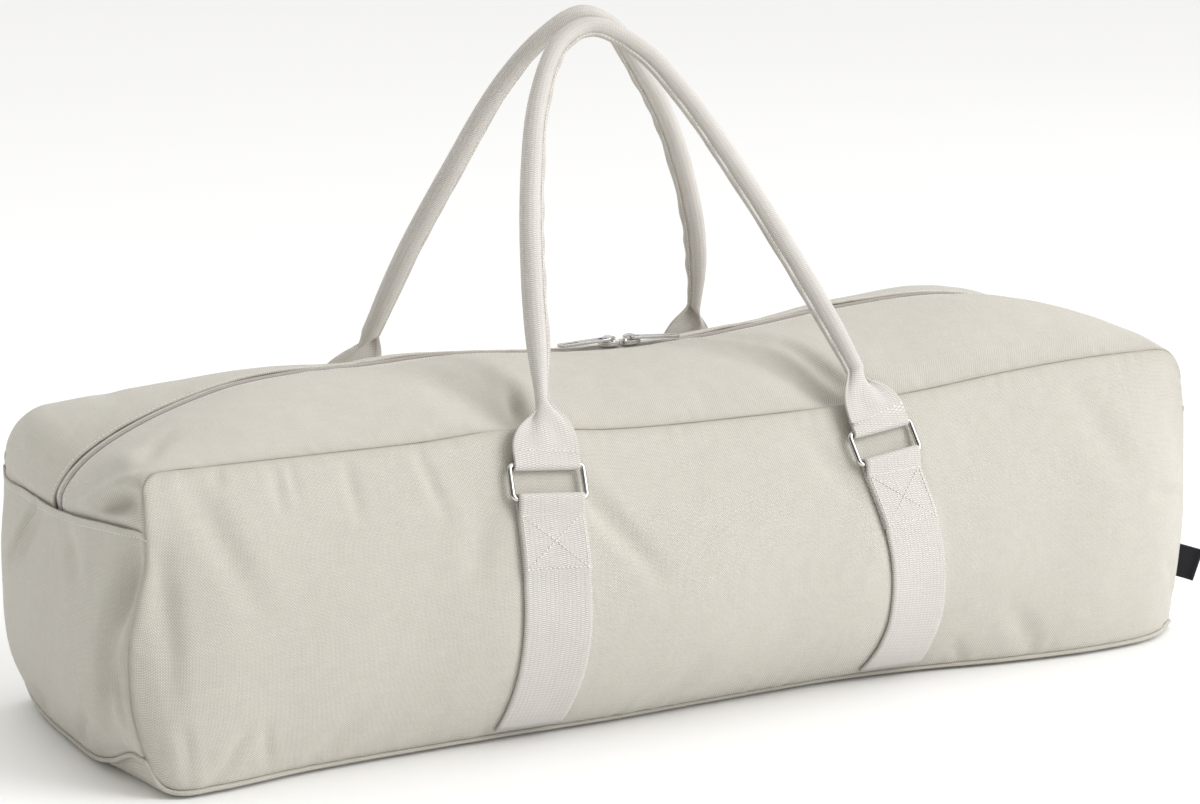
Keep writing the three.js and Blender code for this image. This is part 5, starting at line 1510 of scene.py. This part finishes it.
# %% Thread
def thread_finish():
    finish = Finish("thread", Roughness=0.6, Sheen_Weight=0.3, Specular_IOR_Level=0.35)
    twist = finish.mottle(1400.0, 1.0)
    colour = finish.blend(finish.mottle(30.0), (0.78, 0.75, 0.69, 1), (0.90, 0.88, 0.83, 1))
    colour = finish.darken(colour, finish.spread(twist, 0.86, 1.06))
    return finish.set(Base_Color=colour, Normal=finish.bump(twist, 0.08, 0.4))


cotton_thread = thread_finish()
canvas_stitch = dict(Pitch=3.1, Along=2.5, Across=0.8, Height=0.6, Wobble=0.08)
webbing_stitch = dict(Pitch=2.9, Along=2.3, Across=0.85, Height=0.8, Wobble=0.1)

STITCH_SINK = 0.12
canvas_rows = zip(("zip_front", "zip_back", "hem_left", "hem_right"), zip_stitch_lines + hem_lines)
for name, (line, up) in canvas_rows:
    settle(row_of("stitches_" + name, [(line + up * STITCH_SINK, up)], cotton_thread, **canvas_stitch), "canvas")
for name, lines in strap_sew.items():
    settle(row_of("stitches_strap_" + name, lines, cotton_thread, **webbing_stitch), "webbing")
for name, lines in handle_sew.items():
    settle(row_of("stitches_" + name, lines, cotton_thread, **webbing_stitch), "webbing")

# %% [markdown]
# ## Sliders and tabs
#
# Two sliders meet head to head above the middle of the bag. A slider is two plates with a wedge
# between them, and a crown on top that holds the tab. A tab is a flat bar with a small eye at the
# crown and a slot near its far end. The outlines are cut as plates with holes, and a Bevel rounds
# their edges, because real castings have no sharp edge. The tabs turn on their own hinges, so each
# rides on its own body.

# %% Plate helper
def plate_mesh(name, outline, holes, low, high, rounding, turn, place):
    """A flat plate with holes: outlines in X and Y, between two heights, bevelled and then put in place."""
    curve = bpy.data.curves.new(name + "_outline", "CURVE")
    curve.dimensions = "2D"
    curve.fill_mode = "BOTH"
    curve.extrude = (high - low) / 2 * MM
    for ring in (outline, *holes):
        spline = curve.splines.new("POLY")
        spline.points.add(len(ring) - 1)
        spline.use_cyclic_u = True
        for point, (x, y) in zip(spline.points, ring):
            point.co = (x * MM, y * MM, 0, 1)
    flat = add_object(name + "_outline", curve)
    mesh = bpy.data.meshes.new_from_object(flat.evaluated_get(bpy.context.evaluated_depsgraph_get()))
    bpy.data.objects.remove(flat)
    shape = bmesh.new()
    shape.from_mesh(mesh)
    bmesh.ops.remove_doubles(shape, verts=shape.verts, dist=0.01 * MM)
    bmesh.ops.recalc_face_normals(shape, faces=shape.faces)
    sharp = [edge for edge in shape.edges if edge.calc_face_angle(0) > math.radians(50)]
    bmesh.ops.bevel(shape, geom=sharp, offset=rounding * MM, segments=3, profile=0.5, affect="EDGES",
                    clamp_overlap=True)
    lift = Vector((0, 0, (low + high) / 2 * MM))
    for vertex in shape.verts:
        vertex.co = place @ (turn @ (vertex.co + lift))
    bmesh.ops.recalc_face_normals(shape, faces=shape.faces)
    shape.to_mesh(mesh)
    shape.free()
    mesh.shade_smooth()
    mesh.materials.clear()
    mesh.materials.append(nickel)
    return add_object(name, mesh)


def rounded_bar(length, width, radius, x=0.0, steps=5):
    """Outline of a rectangle with round corners, centred at x."""
    return [(x + px, py) for px, py in round_corners(length, width, radius, steps)[0]]


def arc(half, foot, rise):
    """Half an ellipse from one foot to the other."""
    return [(half * math.cos(t), foot + rise * math.sin(t)) for t in np.linspace(0, math.pi, 13)]


# %% Slider and tab sizes
SLIDER_LENGTH, SLIDER_WIDTH, SLIDER_NOSE, SLIDER_HEIGHT = 14, 11, 7, 3
SLIDER_SPACING, SLIDER_MIDDLE = 17, -2.5
SLIDER_CORNER, PLATE_TOP, WEDGE_TOP = 2.4, 1.6, 1.5
CROWN_LENGTH, CROWN_WIDTH, CROWN_WALL, CROWN_FOOT = 9.4, 3, 1.5, -0.6
PIN_HEIGHT, PIN_WIDTH = 1.6, 1.4
TAB_LENGTH, TAB_WIDTH, TAB_THICKNESS, TAB_REST = 40, 9, 1.8, 3
TAB_EYE, TAB_SLOT, TAB_SLOT_WIDTH = 7, 12, 3.6


def slider_seat(x):
    """Height of the coil's top at x and its slope there."""
    here, ahead = (np.interp(x + d, coil_line[:, 0], coil_line[:, 2]) for d in (-6, 6))
    return (here + ahead) / 2 + COIL_PROUD + GAP, math.atan2(ahead - here, 12)


# %% Sliders
def slider(hand, direction):
    x = SLIDER_MIDDLE + direction * SLIDER_SPACING / 2
    z, slope = slider_seat(x)
    place = (Matrix.Translation(Vector((x, 0, z)) * MM) @ Matrix.Rotation(-slope, 4, "Y")
             @ Matrix.Rotation(0 if direction > 0 else math.pi, 4, "Z"))
    half, wide, narrow = SLIDER_LENGTH / 2, SLIDER_WIDTH / 2, SLIDER_NOSE / 2
    plan = []
    for t in np.linspace(0, 1, 9):
        plan.append((mix(half, 0.3 * half, t), -mix(narrow, wide, ease(t))))
    for angle in np.linspace(-math.pi / 2, -math.pi, 6):
        turn = SLIDER_CORNER * (1 + math.cos(angle)), SLIDER_CORNER * (1 + math.sin(angle))
        plan.append((-half + turn[0], -wide + turn[1]))
    plan += [(px, -py) for px, py in reversed(plan)]
    still = Matrix.Identity(3)
    upper = plate_mesh("slider_plate_" + hand, plan, [], PLATE_TOP, SLIDER_HEIGHT, 0.4, still, place)
    waist = [(px * 0.96, py * 0.94) for px, py in plan]
    lower = plate_mesh("slider_wedge_" + hand, waist, [], 0.0, WEDGE_TOP, 0.35, still, place)
    rise = PIN_HEIGHT + TAB_THICKNESS / 2 + GAP + CROWN_WALL
    outer, inner = CROWN_LENGTH / 2, CROWN_LENGTH / 2 - CROWN_WALL
    under = rise - CROWN_WALL
    arch = [(-outer, CROWN_FOOT), *arc(-outer, rise * 0.55, rise * 0.45), (outer, CROWN_FOOT)]
    arch += [(inner, CROWN_FOOT), *arc(inner, under / 2, under / 2), (-inner, CROWN_FOOT)]
    stand = Matrix.Rotation(math.pi / 2, 3, "X")
    above = place @ Matrix.Translation((0, 0, SLIDER_HEIGHT * MM))
    crown = plate_mesh("slider_crown_" + hand, arch, [], -CROWN_WIDTH / 2, CROWN_WIDTH / 2, 0.45, stand, above)
    settle(upper, "metal", "slider_" + hand)
    settle(lower, "metal")
    settle(crown, "metal")
    hinge = place @ Matrix.Translation((0, 0, (SLIDER_HEIGHT + PIN_HEIGHT) * MM))
    return hinge @ Matrix.Rotation(math.radians(TAB_REST), 4, "Y")


def tab(hand, hinge):
    middle = TAB_LENGTH / 2 - PIN_WIDTH / 2
    eye = rounded_bar(TAB_EYE, CROWN_WIDTH + 2, 1.6, PIN_WIDTH / 2 + TAB_EYE / 2)
    slot = rounded_bar(TAB_SLOT, TAB_SLOT_WIDTH, 1.0, middle + TAB_LENGTH / 2 - TAB_SLOT / 2 - 2 * PIN_WIDTH)
    bar = rounded_bar(TAB_LENGTH, TAB_WIDTH, TAB_WIDTH / 4, middle, 8)
    half = TAB_THICKNESS / 2
    piece = plate_mesh("tab_" + hand, bar, [eye[::-1], slot[::-1]], -half, half, 0.4, Matrix.Identity(3), hinge)
    settle(piece, "metal", "pull_" + hand, body="pull_" + hand)


for hand, direction in (("left", -1), ("right", 1)):
    tab(hand, slider(hand, direction))

# %% [markdown]
# ## Side tag
#
# A short black ribbon is folded in two and caught in the right front seam. It is plain. The fold at
# its end is a soft round loop, so the strip of points goes out, round and back.

# %% Side tag
TAG_HEIGHT, TAG_WIDTH, TAG_REACH, TAG_RIBBON = 46, 24, 15, 0.6
TAG_TILT, TAG_LOOP = -17, 1.3
ribbon_cloth = woven_finish("black_ribbon", (0.011, 0.011, 0.015, 1), (0.005, 0.005, 0.008, 1), 0.45, 0.6, 0.2)


def side_tag():
    seam = panel_point(FRONT, 1.0, TAG_HEIGHT / SEAM_HEIGHT)
    away = -inward(seam)
    angle = math.atan2(away[1], away[0]) / 2
    fold = TAG_REACH - TAG_LOOP
    out = np.linspace(-3.0, fold, 16)
    apart = 0.45 + 0.75 * bell(fold - out, 2.5)
    bend = np.linspace(-math.pi / 2, math.pi / 2, 9)[1:-1]
    x = np.concatenate([out, fold + TAG_LOOP * np.cos(bend), out[::-1]])
    y = np.concatenate([-apart, apart[-1] * np.sin(bend), apart[::-1]])
    y = y + 0.5 * np.sin(x / TAG_REACH * 2.4)
    z = np.linspace(-TAG_WIDTH / 2, TAG_WIDTH / 2, 17)
    tilt = math.radians(TAG_TILT)
    x, y, z = np.broadcast_arrays(x[:, None], y[:, None], z[None, :])
    tipped_x = x * math.cos(tilt) - z * math.sin(tilt)
    tipped_z = z * math.cos(tilt) + x * math.sin(tilt)
    points = np.stack([
        seam[0] + tipped_x * math.cos(angle) - y * math.sin(angle),
        seam[1] + tipped_x * math.sin(angle) + y * math.cos(angle),
        seam[2] + tipped_z,
    ], -1)
    piece = grid_piece("ribbon_tag", points, ribbon_cloth)
    settle(give_wall(piece, TAG_RIBBON, 0.0), "tag", "side_tag")


side_tag()

# %% [markdown]
# ## Floor and light
#
# The studio is plain: a pale floor, one large soft light at the right front, a weak small one
# behind the left end, and a pale sky. The sky is much darker and a little warmer to the left, so
# that the bag's end falls into soft shade as it does in the photograph.

# %% Floor
FLOOR_HALF = 30.0

floor_paint = Finish("pale_floor", Roughness=0.9, Specular_IOR_Level=0.1)
floor_paint.set(Base_Color=floor_paint.blend(
    floor_paint.mottle(0.6), (0.955, 0.955, 0.955, 1), (0.975, 0.975, 0.975, 1)))
floor_mesh = bpy.data.meshes.new("floor")
floor_mesh.from_pydata(
    [(x * FLOOR_HALF, y * FLOOR_HALF, 0) for x, y in ((-1, -1), (1, -1), (1, 1), (-1, 1))], [], [(0, 1, 2, 3)])
floor_mesh.materials.append(floor_paint.material)
floor = add_object("floor", floor_mesh)

# %% Light
LIGHT_TARGET = Vector((0, 0, 0.15))
lights = (("key", 186, 3.6, 38, 27, 5.5), ("side", 8, 1.0, -118, 12, 2.5))

for name, watts, size, azimuth, elevation, distance in lights:
    light = bpy.data.lights.new(name, "AREA")
    light.energy, light.size = watts, size
    put_at(add_object(name, light), LIGHT_TARGET, azimuth, elevation, distance)
    print(name, "light,", watts, "W")

sky = bpy.data.worlds.new("sky")
bpy.context.scene.world = sky
sky.use_nodes = True
SKY_LOW, SKY_SHADE, SKY_HIGH = 0.56, 0.03, 1.5
SHADE_SIDE = (-0.9, -0.43, 0)


def sky_node(kind, inputs, out=0, **settings):
    return add_node(sky.node_tree, "ShaderNode" + kind, inputs, **settings)[out]


def sky_share(axis, low, high, from_low):
    """Strength that goes from low to high as the direction turns towards an axis."""
    turned = sky_node("VectorMath", {0: sky_node("TexCoord", {}), 1: axis}, out="Value", operation="DOT_PRODUCT")
    return sky_node("MapRange", {"Value": turned, "From Min": from_low, "To Min": low, "To Max": high})


shade = sky_share(SHADE_SIDE, 1.0, SKY_SHADE, -0.1)
level = sky_node("Math", {0: shade, 1: sky_share((0, 0, 1), SKY_LOW, SKY_HIGH, 0.0)}, operation="MULTIPLY")
warmth = sky_node("Mix", {
    0: sky_share(SHADE_SIDE, 0.0, 1.0, -0.2), 6: (1, 1, 1, 1), 7: (1, 0.975, 0.86, 1),
}, out=2, data_type="RGBA")
background = sky.node_tree.nodes["Background"]
feed(sky.node_tree, background.inputs["Color"], warmth)
feed(sky.node_tree, background.inputs["Strength"], level)
print("sky from", SKY_SHADE, "to", SKY_HIGH)
